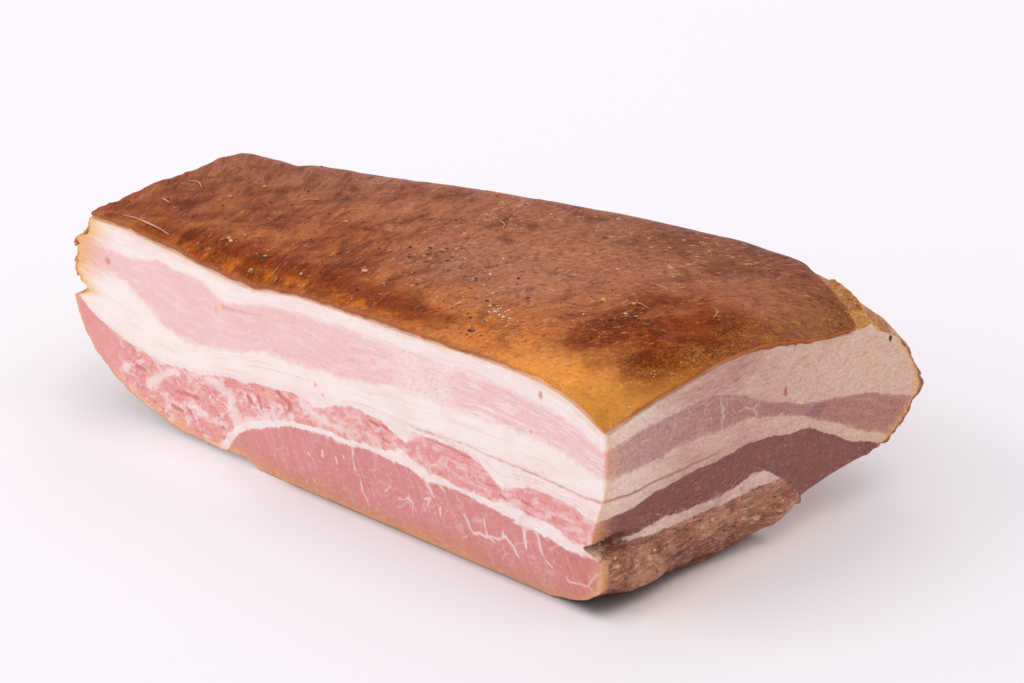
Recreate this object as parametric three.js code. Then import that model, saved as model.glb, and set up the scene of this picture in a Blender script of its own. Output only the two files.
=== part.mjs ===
import * as THREE from 'three';
import { mergeVertices } from 'three/addons/utils/BufferGeometryUtils.js';

// Driving sizes of the smoked belly chunk, in millimetres; shares of the height have no unit.
// X runs along the long cut face, Y from that face to the back, Z up from the board.
const FRONT_LENGTH = 203;
const CUT_END_WIDTH = 118;
const TORN_END_WIDTH = 88;
const BACK_SWELL = 17;
const RIND_HEIGHT = 60.3;
const CROWN_RISE = 3.4;

// The rind sags at the near corner of the two cuts, along the cut end and at its back.
const CORNER_SAG = 8.4;
const CORNER_SAG_LENGTH = 11.5;
const CORNER_SAG_WIDTH = 24.5;
const END_SAG = 2.6;
const END_SAG_LENGTH = 17;
const BACK_SAG = 6.5;
const BACK_SAG_LENGTH = 11;

// The rind is cut away at its far corner, beyond a line across that corner.
const FLAP_CORNER_X = -22;
const FLAP_CORNER_Y = 107.5;
const FLAP_TURN = THREE.MathUtils.degToRad(28);
const FLAP_DROP = 3;
const FLAP_SLOPE_WIDTH = 4;

// The back is a round nose, drawn in further below, and the torn end is raised like the bow of a boat.
const NOSE_DEPTH = 27;
const LOW_NOSE_DEPTH = 47;
const NOSE_SHARE = 0.56;
const BOW_LENGTH = 55;
const BOW_SHARE = 0.55;
const BOW_LIFT = 2.6;
const BOW_LIFT_START = 132;
const BACK_CORNER_LENGTH = 26;
const BACK_CORNER_WIDTH = 30;

// The cut end is swung in plan, leans in above a ledge, and a torn lobe stands out below the ledge.
const END_SWING = Math.tan(THREE.MathUtils.degToRad(6));
const END_LEAN = 4.4;
const LEAN_START_HEIGHT = 38.5;
const LEDGE_HEIGHT = 17.6;
const LEDGE_STEP = 6.2;
const LEDGE_FAR_SHARE = 0.2;
const LEDGE_NEAR_WIDTH = 8;
const LEDGE_FULL_WIDTH = 56;
const LEDGE_WIDTH = 74;
const TOE_LENGTH = 8;
const TOE_SHARE = 0.08;
const END_LIFT = 0.4;
const END_LIFT_LENGTH = 18;
const CORNER_LIFT = 4.4;
const CORNER_LIFT_LENGTH = 8;
const CORNER_LIFT_WIDTH = 10;
const END_BACK_RISE = 7.5;
const END_BACK_RISE_LENGTH = 70;

// The torn end: bulge in plan, lean of the upper part, crags and the notch above the lip.
const TIP_BULGE = 7;
const TOP_BULGE = 8;
const LIP_SETBACK = 3;
const TORN_LEAN = 7;
const TORN_LEAN_START = 47;
const TORN_BULGE_WIDTH = 98;
const LIP_HEIGHT = 32;
const CRAG_DEPTH = 2.2;
const CRAG_SIZE = 8;
const NOTCH_DEPTH = 3.6;
const NOTCH_HEIGHT = 35.6;
const NOTCH_SIZE = 2.3;

// Low swells of the rind, the back and the underside, which rests where a swell would reach below the board.
const RIND_SWELL = 0.6;
const RIND_SWELL_SIZE = 23;
const SIDE_SWELL = 1;
const SIDE_SWELL_SIZE = 15;
const UNDERSIDE_SWELL = 1;
const UNDERSIDE_REST_DEPTH = 0.8;

const STEPS_ALONG = 45;
const STEPS_ACROSS = 27;
const STEPS_UP = 16;

const { clamp, lerp, smoothstep } = THREE.MathUtils;

/** A repeatable number from 0 to 1 for each point of a whole-number grid. */
function gridValue(i, j, k) {
  const mixed = Math.sin(i * 127.1 + j * 311.7 + k * 74.7) * 43758.5453;
  return mixed - Math.floor(mixed);
}

/** Smooth noise from -1 to 1, with lumps about one unit across. */
function noise(x, y, z) {
  const i = Math.floor(x);
  const j = Math.floor(y);
  const k = Math.floor(z);
  const fx = smoothstep(x - i, 0, 1);
  const fy = smoothstep(y - j, 0, 1);
  const fz = smoothstep(z - k, 0, 1);
  const row = (dj, dk) => lerp(gridValue(i, j + dj, k + dk), gridValue(i + 1, j + dj, k + dk), fx);
  const near = lerp(row(0, 0), row(1, 0), fy);
  const far = lerp(row(0, 1), row(1, 1), fy);
  return 2 * lerp(near, far, fz) - 1;
}

/** Depth of the chunk from the front cut to the back, at a share of the length from the torn end. */
function backDepth(share) {
  const swell = BACK_SWELL * Math.sin(Math.PI * Math.pow(share, 1.5));
  return lerp(TORN_END_WIDTH, CUT_END_WIDTH, share) + swell;
}

/** Height of the rind over a point of the plan; x counts back from the cut end. */
function rindHeight(x, y, depth) {
  const crown = CROWN_RISE * (1 + x / FRONT_LENGTH) * Math.sin(Math.PI * Math.min(y / depth, 1));
  const reach = Math.hypot(x / CORNER_SAG_LENGTH, y / CORNER_SAG_WIDTH);
  const corner = CORNER_SAG * Math.exp(-Math.pow(reach, 1.4));
  const end = END_SAG * Math.exp(x / END_SAG_LENGTH) * smoothstep(y, 0, 35);
  const back = BACK_SAG * Math.exp(x / BACK_SAG_LENGTH) * smoothstep(y, 40, 92);
  const beyond = (x - FLAP_CORNER_X) * Math.sin(FLAP_TURN) + (y - FLAP_CORNER_Y) * Math.cos(FLAP_TURN);
  const side = smoothstep(x, FLAP_CORNER_X - 4, FLAP_CORNER_X + 4);
  const flap = FLAP_DROP * side * smoothstep(beyond, 0, FLAP_SLOPE_WIDTH);
  const swell = RIND_SWELL * noise(x / RIND_SWELL_SIZE, y / RIND_SWELL_SIZE, 3.5);
  return RIND_HEIGHT + crown - corner - end - back - flap + swell;
}

/** Height of the underside over a point of the plan, before the rounded edges. */
function undersideHeight(x, y) {
  const lift = END_LIFT * smoothstep(x, -END_LIFT_LENGTH, 0);
  const reach = Math.hypot(x / CORNER_LIFT_LENGTH, y / CORNER_LIFT_WIDTH);
  const corner = CORNER_LIFT * Math.exp(-Math.pow(reach, 1.4));
  const rise = END_BACK_RISE * smoothstep(y, 44, 98) * smoothstep(x, -END_BACK_RISE_LENGTH, 0);
  const bow = BOW_LIFT * (1 - smoothstep(x, -BOW_LIFT_START, 10 - BOW_LIFT_START));
  const swell = UNDERSIDE_SWELL * noise(x / SIDE_SWELL_SIZE, y / SIDE_SWELL_SIZE, 8.5);
  return lift + corner + rise + bow + swell - UNDERSIDE_REST_DEPTH;
}

/** Place of the torn end for a depth and a height. */
function tornEnd(y, z) {
  const bulge = Math.sin(Math.PI * Math.min(y / TORN_BULGE_WIDTH, 1));
  const upper = smoothstep(z, TORN_LEAN_START, RIND_HEIGHT);
  const setback = LIP_SETBACK * smoothstep(z, LIP_HEIGHT, LIP_HEIGHT + 4);
  const form = setback - FRONT_LENGTH + upper * TORN_LEAN - lerp(TIP_BULGE, TOP_BULGE, upper) * bulge;
  const torn = smoothstep(z, LIP_HEIGHT - 4, LIP_HEIGHT + 7) * (1 - smoothstep(y, 40, 70));
  const crags = CRAG_DEPTH * noise(y / CRAG_SIZE, z / CRAG_SIZE, 1.5) * torn;
  const gap = Math.exp(-Math.pow((z - NOTCH_HEIGHT) / NOTCH_SIZE, 2)) * (1 - smoothstep(y, 30, 75));
  const notch = NOTCH_DEPTH * gap * (0.7 + 0.3 * noise(y / CRAG_SIZE, 4.5, 2.5));
  return form + crags + notch;
}

/** Place of the cut end for a depth and a height, with the lobe that stands out below the ledge. */
function cutEnd(y, z) {
  const near = 1 - smoothstep(y, 0, LEDGE_WIDTH);
  const lean = END_LEAN * near * (1 - smoothstep(z, LEDGE_HEIGHT, LEAN_START_HEIGHT));
  const share = lerp(LEDGE_FAR_SHARE, 1, Math.exp(-y / LEDGE_NEAR_WIDTH));
  const step = LEDGE_STEP * share * (1 - smoothstep(y, LEDGE_FULL_WIDTH, LEDGE_WIDTH));
  const lobe = step * (1 - smoothstep(z, LEDGE_HEIGHT - 2, LEDGE_HEIGHT + 1));
  return END_SWING * y + 1.3 - lean + lobe;
}

/** Rounds one edge of the unit block: the corner rectangle of the two given sides becomes a quarter round. */
function roundEdge(p, q, width, height) {
  if (p >= width || q >= height) {
    return [p, q];
  }
  const a = 1 - p / width;
  const b = 1 - q / height;
  const factor = Math.max(a, b) / Math.hypot(a, b);
  return [width * (1 - a * factor), height * (1 - b * factor)];
}

/** Carries a point of the unit block, shares along, across and up, to its place on the chunk. */
function chunkPoint(along, across, up) {
  const depth = backDepth(along);
  let a = along;
  let b = across;
  let c = up;
  if (c >= NOSE_SHARE) {
    const [back, top] = roundEdge(1 - b, 1 - c, NOSE_DEPTH / depth, 1 - NOSE_SHARE);
    b = 1 - back;
    c = 1 - top;
  } else {
    const [back, low] = roundEdge(1 - b, c, LOW_NOSE_DEPTH / depth, NOSE_SHARE);
    b = 1 - back;
    c = low;
  }
  [a, c] = roundEdge(a, c, BOW_LENGTH / FRONT_LENGTH, BOW_SHARE);
  const [toe, sole] = roundEdge(1 - a, c, TOE_LENGTH / FRONT_LENGTH, TOE_SHARE);
  const cornerShare = BACK_CORNER_LENGTH / FRONT_LENGTH;
  const [left, rear] = roundEdge(1 - toe, 1 - b, cornerShare, BACK_CORNER_WIDTH / depth);
  a = left;
  b = 1 - rear;
  c = sole;

  const x = (a - 1) * FRONT_LENGTH;
  const swell = SIDE_SWELL * smoothstep(b, 0.8, 1) * noise(x / SIDE_SWELL_SIZE, c * 4, 5.5);
  const y = b * depth + swell;
  const z = Math.max(0, lerp(undersideHeight(x, y), rindHeight(x, y, depth), c));
  return new THREE.Vector3(lerp(tornEnd(y, z), cutEnd(y, z), a), y, z);
}

/** The whole chunk as one closed body, with the middle of the bottom of its box at the origin. */
function chunkGeometry() {
  const block = new THREE.BoxGeometry(1, 1, 1, STEPS_ALONG, STEPS_ACROSS, STEPS_UP);
  block.deleteAttribute('normal');
  block.deleteAttribute('uv');
  const chunk = mergeVertices(block, 1e-6);
  const places = chunk.getAttribute('position');
  for (let n = 0; n < places.count; n += 1) {
    const share = [places.getX(n), places.getY(n), places.getZ(n)].map((value) => clamp(value + 0.5, 0, 1));
    const point = chunkPoint(...share);
    places.setXYZ(n, point.x, point.y, point.z);
  }
  chunk.computeBoundingBox();
  const middle = chunk.boundingBox.getCenter(new THREE.Vector3());
  chunk.translate(-middle.x, -middle.y, -chunk.boundingBox.min.z);
  chunk.computeVertexNormals();
  return chunk;
}

const meat = new THREE.MeshStandardMaterial({ color: 0xb9795c, roughness: 0.55, metalness: 0 });
const belly = new THREE.Mesh(chunkGeometry(), meat);
belly.name = 'belly_chunk';

const part = new THREE.Group();
part.name = 'smoked_belly_chunk';
part.add(belly);

export default part;
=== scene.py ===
"""Looks of a smoked pork belly chunk: brown rind, two fresh cuts, a torn end, a smoked outside and spice."""

import logging
import math
from collections.abc import Sequence
from dataclasses import dataclass, field
from enum import Enum
from functools import reduce

import bpy
import numpy as np
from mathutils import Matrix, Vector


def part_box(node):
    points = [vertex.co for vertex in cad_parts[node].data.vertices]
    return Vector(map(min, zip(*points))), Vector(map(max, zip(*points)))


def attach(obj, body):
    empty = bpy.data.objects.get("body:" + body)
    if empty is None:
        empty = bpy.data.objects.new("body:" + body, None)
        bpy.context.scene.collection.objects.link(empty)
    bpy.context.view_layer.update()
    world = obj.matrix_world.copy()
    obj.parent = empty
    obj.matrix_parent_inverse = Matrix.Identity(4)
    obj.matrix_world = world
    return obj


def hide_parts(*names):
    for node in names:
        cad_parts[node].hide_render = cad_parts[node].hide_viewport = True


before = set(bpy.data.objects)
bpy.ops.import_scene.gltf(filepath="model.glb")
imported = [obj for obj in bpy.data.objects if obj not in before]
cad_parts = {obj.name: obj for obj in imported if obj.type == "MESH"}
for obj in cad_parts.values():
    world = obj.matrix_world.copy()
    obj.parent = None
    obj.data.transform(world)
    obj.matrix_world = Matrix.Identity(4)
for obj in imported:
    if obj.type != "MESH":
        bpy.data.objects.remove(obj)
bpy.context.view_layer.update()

Array = np.ndarray
Colour = tuple[float, float, float]
Points = tuple[tuple[float, float], ...]
Socket = bpy.types.NodeSocket

NODE = "belly_chunk"
BODY = "root"
MM = 0.001
TINY = 1e-5

log = logging.getLogger("belly")


class Field(Enum):
    """Per-vertex values that a mesh hands to its finish."""

    LAYER = "layer"
    FLOW = "flow"
    SMOKE = "smoke"
    END = "end"
    RIM = "rim"
    TORN = "torn"
    GAP = "gap"
    VEIN = "vein"
    RED = "red"


class Ground(Enum):
    """The face that scatter lies on."""

    RIND = "rind"
    LOBE = "lobe"
    TORN = "torn end"


# Number fields in millimetres


def smoothstep(value: Array, low: float | Array, high: float | Array) -> Array:
    """Ease a value from 0 at low to 1 at high."""
    share = np.clip((value - low) / (high - low), 0.0, 1.0)
    return share * share * (3.0 - 2.0 * share)


def lerp(first: float | Array, second: float | Array, share: float | Array) -> Array:
    """Blend from first to second by a share."""
    return first + (second - first) * share


def grid_value(i: Array, j: Array, k: Array) -> Array:
    """Give a repeatable number from 0 to 1 for each point of a whole-number grid."""
    mixed = np.sin(i * 127.1 + j * 311.7 + k * 74.7) * 43758.5453
    return mixed - np.floor(mixed)


def noise(x: Array, y: Array, z: Array | float) -> Array:
    """Give smooth noise from -1 to 1, with lumps about one unit across.

    Args:
        x: First place.
        y: Second place.
        z: Third place.

    Returns:
        The noise.
    """
    x, y, z = np.broadcast_arrays(np.asarray(x, float), np.asarray(y, float), np.asarray(z, float))
    i, j, k = np.floor(x), np.floor(y), np.floor(z)
    fx, fy, fz = (smoothstep(p - q, 0.0, 1.0) for p, q in ((x, i), (y, j), (z, k)))

    def row(dj: int, dk: int) -> Array:
        """Blend along the first axis."""
        return lerp(grid_value(i, j + dj, k + dk), grid_value(i + 1, j + dj, k + dk), fx)

    near = lerp(row(0, 0), row(1, 0), fy)
    far = lerp(row(0, 1), row(1, 1), fy)
    return 2.0 * lerp(near, far, fz) - 1.0


def fractal(x: Array, y: Array, z: Array | float, octaves: int = 3) -> Array:
    """Sum noise of ever smaller lumps.

    Args:
        x: First place, in lumps of the largest size.
        y: Second place.
        z: Third place.
        octaves: How many sizes of lump.

    Returns:
        Noise from about -1 to 1.
    """
    total = np.zeros(np.broadcast(x, y, z).shape)
    for n in range(octaves):
        scale = 2.03**n
        total = total + noise(x * scale + 11.3 * n, y * scale - 5.7 * n, z * scale + 3.1 * n) / 1.8**n
    return total / 1.6


def along_points(points: Points, place: Array, soften: float = 2.0) -> Array:
    """Read a smooth line through points.

    Args:
        points: Pairs of place and value.
        place: Where to read.
        soften: Half width of the rounding at a point.

    Returns:
        The values.
    """
    places, values = zip(*points)
    offsets = (-soften, 0.0, soften)
    return sum(w * np.interp(place + d, places, values) for w, d in zip((0.25, 0.5, 0.25), offsets))


# Form of the chunk


def round_edge(p: Array, q: Array, width: float | Array, height: float) -> tuple[Array, Array]:
    """Round one edge of the unit block.

    Args:
        p: Distance from the first side, as a share.
        q: Distance from the second side, as a share.
        width: Reach of the rounding along p.
        height: Reach of the rounding along q.

    Returns:
        The two distances with the corner drawn in to a quarter round.
    """
    inside = (p < width) & (q < height)
    a = np.where(inside, 1.0 - p / width, 0.0)
    b = np.where(inside, 1.0 - q / height, 0.0)
    length = np.hypot(a, b)
    factor = np.where(length > 0.0, np.maximum(a, b) / np.where(length > 0.0, length, 1.0), 1.0)
    return (
        np.where(inside, width * (1.0 - a * factor), p),
        np.where(inside, height * (1.0 - b * factor), q),
    )


@dataclass(frozen=True)
class BellyForm:
    """True form of the chunk in millimetres, counted from the near bottom corner of the two cuts."""

    corner_place: float = 98.0
    front_length: float = 203.0
    cut_end_width: float = 118.0
    torn_end_width: float = 88.0
    back_swell: float = 17.0
    rind_height: float = 60.3
    crown_rise: float = 3.4
    corner_sag: float = 8.4
    end_sag: float = 2.6
    back_sag: float = 6.5
    flap_corner: tuple[float, float] = (-22.0, 107.5)
    flap_turn: float = math.radians(28.0)
    flap_drop: float = 3.0
    nose_depth: float = 27.0
    low_nose_depth: float = 47.0
    nose_share: float = 0.56
    bow_length: float = 55.0
    bow_share: float = 0.55
    bow_lift: float = 2.6
    bow_lift_start: float = 132.0
    back_corner: tuple[float, float] = (26.0, 30.0)
    end_swing: float = math.tan(math.radians(6.0))
    end_lean: float = 4.4
    lean_start_height: float = 38.5
    ledge_step: float = 6.2
    ledge_width: float = 74.0
    toe: tuple[float, float] = (8.0, 0.08)
    corner_lift: float = 4.4
    end_lift: float = 0.4
    end_back_rise: float = 7.5
    lip_height: float = 32.0
    tip_bulge: float = 7.0
    top_bulge: float = 8.0
    torn_lean: float = 7.0
    notch_depth: float = 3.6
    notch_height: float = 35.6
    rind_thickness: float = 2.2
    torn_line: Points = (
        (29.0, 0.0), (31.7, -0.6), (33.4, 2.0), (36.0, 4.4), (40.5, -1.2), (45.8, 0.4), (48.8, -1.6),
        (52.8, 1.6), (59.0, 0.4),
    )
    ledge_line: Points = (
        (0.0, 16.2), (12.0, 16.4), (26.0, 17.4), (35.0, 17.8), (56.0, 18.2), (63.0, 17.8), (67.0, 15.5),
        (70.0, 10.0), (74.0, 2.0),
    )
    brow_line: Points = (
        (-186.0, 0.0), (-172.0, 1.2), (-158.0, 2.3), (-144.0, 3.6), (-130.0, 4.4), (-121.0, 2.8),
        (-113.0, 1.6), (-88.0, 0.9), (-61.0, 0.5), (-30.0, 0.0),
    )

    def back_depth(self, share: Array) -> Array:
        """Depth from the long cut to the back."""
        swell = self.back_swell * np.sin(np.pi * share**1.5)
        return lerp(self.torn_end_width, self.cut_end_width, share) + swell

    def beyond_flap(self, x: Array, y: Array) -> Array:
        """Distance past the line on which the far corner of the rind is cut away."""
        fx, fy = self.flap_corner
        return (x - fx) * math.sin(self.flap_turn) + (y - fy) * math.cos(self.flap_turn)

    def top(self, x: Array, y: Array, depth: Array) -> Array:
        """Height of the outside of the rind.

        Args:
            x: Place along.
            y: Place across.
            depth: Depth of the chunk there.

        Returns:
            The height.
        """
        crown = self.crown_rise * (1.0 + x / self.front_length) * np.sin(np.pi * np.minimum(y / depth, 1.0))
        corner = self.corner_sag * np.exp(-(np.hypot(x / 11.5, y / 24.5) ** 1.4))
        end = self.end_sag * np.exp(x / 17.0) * smoothstep(y, 0.0, 35.0)
        back = self.back_sag * np.exp(x / 11.0) * smoothstep(y, 40.0, 92.0)
        side = smoothstep(x, self.flap_corner[0] - 4.0, self.flap_corner[0] + 4.0)
        flap = self.flap_drop * side * smoothstep(self.beyond_flap(x, y), 0.0, 4.0)
        swell = 0.6 * noise(x / 23.0, y / 23.0, 3.5)
        brow = along_points(self.brow_line, x, 2.0) * np.exp(-((np.maximum(y, 0.0) / 5.5) ** 1.5))
        return self.rind_height + crown - corner - end - back - flap + swell - brow

    def underside(self, x: Array, y: Array) -> Array:
        """Height of the underside, before the rounded edges.

        Args:
            x: Place along.
            y: Place across.

        Returns:
            The height, below 0 where the chunk rests.
        """
        lift = self.end_lift * smoothstep(x, -18.0, 0.0)
        corner = self.corner_lift * np.exp(-(np.hypot(x / 8.0, y / 10.0) ** 1.4))
        rise = self.end_back_rise * smoothstep(y, 44.0, 98.0) * smoothstep(x, -70.0, 0.0)
        bow = self.bow_lift * (1.0 - smoothstep(x, -self.bow_lift_start, 10.0 - self.bow_lift_start))
        return lift + corner + rise + bow + noise(x / 15.0, y / 15.0, 8.5) - 0.8

    def torn_end(self, y: Array, z: Array) -> Array:
        """Place of the torn end.

        Args:
            y: Place across.
            z: Height.

        Returns:
            The place along.
        """
        bulge = np.sin(np.pi * np.minimum(y / 98.0, 1.0))
        upper = smoothstep(z, 47.0, self.rind_height)
        setback = 3.0 * smoothstep(z, self.lip_height, self.lip_height + 4.0)
        form = setback - self.front_length + upper * self.torn_lean
        form = form - lerp(self.tip_bulge, self.top_bulge, upper) * bulge
        torn = smoothstep(z, self.lip_height - 4.0, self.lip_height + 7.0) * (1.0 - smoothstep(y, 40.0, 70.0))
        near = 1.0 - smoothstep(y, 6.0, 26.0)
        lumps = 2.2 * (1.0 - near) * noise(y / 8.0, z / 8.0, 1.5)
        crags = torn * (lumps + 0.8 * noise(y / 2.2, z / 1.6, 4.5))
        crags = crags + near * along_points(self.torn_line, z, 0.7)
        gap = (1.0 - near) * np.exp(-(((z - self.notch_height) / 2.3) ** 2))
        gap = gap * (1.0 - smoothstep(y, 30.0, 75.0))
        return form + crags + self.notch_depth * gap * (0.7 + 0.3 * noise(y / 8.0, 4.5, 2.5))

    def ledge(self, y: Array) -> Array:
        """Height of the ledge over the torn lobe of the cut end."""
        level = along_points(self.ledge_line, y, 1.0)
        return level + 0.7 * noise(y / 2.6, 0.5, 0.5) + 0.4 * noise(y / 0.9, 1.5, 0.5)

    def gap(self, y: Array, z: Array) -> Array:
        """How deep in the crumbly gap over the lobe a point of the cut end lies."""
        across = 1.0 - smoothstep(y, 7.0, 17.0 + 3.0 * noise(y / 2.0, 2.5, 0.5))
        return across * np.exp(-(((z - self.ledge(y) - 1.1) / 1.15) ** 2))

    def cut_end(self, y: Array, z: Array) -> Array:
        """Place of the cut end, with the lobe that stands out below the ledge.

        Args:
            y: Place across.
            z: Height.

        Returns:
            The place along.
        """
        near = 1.0 - smoothstep(y, 0.0, self.ledge_width)
        lean = self.end_lean * near * (1.0 - smoothstep(z, 17.6, self.lean_start_height))
        step = self.ledge_step * (0.2 + 0.8 * np.exp(-y / 8.0))
        step = step * (1.0 - smoothstep(y, 56.0, self.ledge_width))
        below = 1.0 - smoothstep(z, self.ledge(y) - 1.6, self.ledge(y) + 0.5)
        turned = 2.6 * below * np.clip(1.0 - y / 6.0, 0.0, 1.0) ** 2
        return self.end_swing * y + 1.3 - lean + step * below - turned - 2.6 * self.gap(y, z)

    def place(self, along: Array, across: Array, up: Array, drop: float = 0.0) -> Array:
        """Carry points of the unit block to the chunk.

        Args:
            along: Share from the torn end to the cut end.
            across: Share from the long cut to the back.
            up: Share from the underside to the rind.
            drop: How far the top lies under the outside of the rind, where the rind covers it.

        Returns:
            One row of x, y and z for each point.
        """
        depth = self.back_depth(along)
        high = up >= self.nose_share
        back_high, head = round_edge(1.0 - across, 1.0 - up, self.nose_depth / depth, 1.0 - self.nose_share)
        back_low, foot = round_edge(1.0 - across, up, self.low_nose_depth / depth, self.nose_share)
        b = 1.0 - np.where(high, back_high, back_low)
        c = np.where(high, 1.0 - head, foot)
        a, c = round_edge(along, c, self.bow_length / self.front_length, self.bow_share)
        toe, c = round_edge(1.0 - a, c, self.toe[0] / self.front_length, self.toe[1])
        a, rear = round_edge(
            1.0 - toe, 1.0 - b, self.back_corner[0] / self.front_length, self.back_corner[1] / depth
        )
        b = 1.0 - rear
        x = (a - 1.0) * self.front_length
        y = b * depth + smoothstep(b, 0.8, 1.0) * noise(x / 15.0, c * 4.0, 5.5)
        under_rind = drop * self.covered(x, y, depth)
        z = np.maximum(0.0, lerp(self.underside(x, y), self.top(x, y, depth) - under_rind, c))
        return np.stack([lerp(self.torn_end(y, z), self.cut_end(y, z), a), y, z], axis=1)

    def covered(self, x: Array, y: Array, depth: Array) -> Array:
        """Share of a place in plan that the rind covers.

        Args:
            x: Place along.
            y: Place across.
            depth: Depth of the chunk there.

        Returns:
            1 under the rind, 0 past its edge.
        """
        back_edge = depth - 0.293 * self.nose_depth
        back = 1.0 - smoothstep(y, back_edge - 1.6, back_edge + 0.8)
        flap = 1.0 - smoothstep(self.beyond_flap(x, y), -0.6, 0.8)
        side = smoothstep(x, self.flap_corner[0] - 1.5, self.flap_corner[0] + 1.5)
        return back * lerp(1.0, flap, side)


@dataclass(frozen=True)
class LayerEdge:
    """One boundary between fat and lean: its height along the long cut and across the cut end."""

    along: Points
    across: Points

    def height(self, x: Array, y: Array) -> Array:
        """Height of the boundary inside the chunk."""
        return along_points(self.along, x) + along_points(self.across, y) - self.across[0][1]


@dataclass(frozen=True)
class BellyLayers:
    """The stack of fat and lean from the rind down: fat, lean, fat, red streak, fat, lean, fat, lean."""

    first_lean_top: LayerEdge = LayerEdge(
        along=(
            (-211, 51), (-176, 50.2), (-163, 52.4), (-145, 51.5), (-137, 46.6), (-130, 48.8), (-119, 51),
            (-104, 52.8), (-70, 53.2), (-31, 53.1), (-18, 51.5), (-9, 49.3), (0, 45.8),
        ),
        across=(
            (0, 45.8), (9, 47.5), (26, 49.1), (35, 50.2), (42, 48.4), (48, 46.6), (53, 43.1), (62, 40),
            (70, 36.5), (88, 33.4), (97, 32.1), (106, 29), (120, 23.8),
        ),
    )
    first_lean_foot: LayerEdge = LayerEdge(
        along=(
            (-211, 46.6), (-189, 44.9), (-180, 42.7), (-172, 39.2), (-163, 33.4), (-154, 31.2),
            (-141, 32.1), (-132, 33.9), (-121, 37), (-101, 37.7), (-88, 38.7), (-75, 40.9), (-53, 42.2),
            (-31, 42.7), (-18, 42.2), (-9, 40.5), (0, 38.3),
        ),
        across=(
            (0, 38.3), (9, 37.8), (22, 39.2), (35, 39.6), (48, 39.2), (57, 37.4), (66, 34.8), (75, 31.0),
            (84, 26.2), (92, 21.8), (106, 16.2), (120, 12),
        ),
    )
    streak: LayerEdge = LayerEdge(
        along=(
            (-211, 40.5), (-202, 35), (-196, 29.8), (-188, 26.7), (-180, 24.2), (-167, 22.3),
            (-150, 23.0), (-132, 26.4), (-114, 29), (-92, 31.2), (-79, 33), (-63, 32.3), (-40, 33.3),
            (-22, 33), (0, 32.1),
        ),
        across=(
            (0, 32.1), (9, 30.8), (18, 32.1), (35, 32.8), (46, 33.3), (55, 31.7), (66, 29.9), (75, 29),
            (81, 24.6), (90, 19.2), (101, 15.2), (120, 8.5),
        ),
    )
    second_lean_top: LayerEdge = LayerEdge(
        along=(
            (-211, 40), (-202, 34.5), (-196, 29.2), (-188, 26.2), (-180, 23.7), (-167, 21.8),
            (-150, 22.5), (-132, 26), (-110, 28.2), (-104, 27.3), (-100, 25.5), (-95, 29), (-88, 30.8),
            (-76, 30.4), (-70, 27.3), (-67, 25.5), (-65, 29), (-60, 30.5), (-46, 30.6), (-40, 28.6),
            (-33, 24.2), (-27, 27.5), (-19, 28.4), (-9, 27.3), (0, 24.6),
        ),
        across=(
            (0, 24.6), (9, 25.4), (18, 27.6), (26, 29.1), (44, 30.9), (49, 31.9), (55, 31.2), (66, 29.5),
            (75, 28.6), (81, 24.2), (90, 18.8), (120, 8),
        ),
    )
    second_lean_foot: LayerEdge = LayerEdge(
        along=(
            (-211, -5), (-143, 0), (-137, 7.4), (-132, 12.4), (-125, 15.6), (-114, 18.9), (-100, 20.7),
            (-86, 21.0), (-75, 22), (-68, 24.2), (-62, 21.6), (-48, 20.1), (-35, 20.5), (-31, 22.9),
            (-27, 20.4), (-18, 20.1), (-9, 18), (0, 17.2),
        ),
        across=(
            (0, 17.2), (6, 15.8), (12, 16.2), (18, 17.4), (24, 18.8), (28, 18.6), (44, 19.2), (53, 21.1),
            (57, 21.6), (60, 19.5), (64, 15), (69, 9), (76, 0), (120, -9),
        ),
    )
    third_lean_top: LayerEdge = LayerEdge(
        along=(
            (-211, -7), (-141, -1.8), (-136, 4.4), (-132, 9.9), (-125, 13.2), (-114, 17), (-104, 18.7),
            (-88, 19.4), (-81, 20.2), (-70, 20.1), (-60, 18.1), (-48, 19.2), (-35, 17.6), (-18, 16.2),
            (-9, 14.8), (0, 15),
        ),
        across=(
            (0, 15), (12, 15.0), (26, 16.2), (35, 16.6), (44, 16.4), (56, 17.6), (61, 16), (66, 11),
            (72, 3), (120, -9),
        ),
    )
    floor: float = -14.0
    thinnest: float = 0.12
    reach: float = 4.0

    def value(self, x: Array, y: Array, z: Array, top: Array) -> tuple[Array, Array]:
        """Number the layers: 0 at the underside of the rind, then one more at each boundary.

        Args:
            x: Place along.
            y: Place across.
            z: Height.
            top: Height of the underside of the rind there.

        Returns:
            The layer number, which changes evenly near a boundary, and the same by share of thickness.
        """
        x = np.minimum(x, 0.0)
        wavy = z + 0.75 * fractal(x / 6.5, y / 6.5, z / 5.0, 3)
        streak = self.streak.height(x, y)
        width = lerp(0.3, 0.5, smoothstep(x, -95.0, -72.0)) * lerp(1.2, 0.6, smoothstep(y, 38.0, 52.0))
        edges = [
            top,
            self.first_lean_top.height(x, y),
            self.first_lean_foot.height(x, y),
            streak,
            streak - width,
            self.second_lean_top.height(x, y),
            self.second_lean_foot.height(x, y),
            self.third_lean_top.height(x, y),
            np.full_like(z, self.floor),
        ]
        for n in range(1, len(edges)):
            edges[n] = np.minimum(edges[n], edges[n - 1] - self.thinnest)
        number, flow = np.zeros_like(z), np.zeros_like(z)
        for upper, lower in zip(edges, edges[1:]):
            above = np.clip(upper - wavy, 0.0, upper - lower)
            below = np.minimum(upper - lower - above, self.reach)
            flow += above / (upper - lower)
            above = np.minimum(above, self.reach)
            number += above / (above + below)
        return number, flow


@dataclass(frozen=True)
class Vein:
    """One vein in a cut face: its points in the face, and its half width at the start and the end."""

    points: Points
    start: float
    end: float


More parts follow.
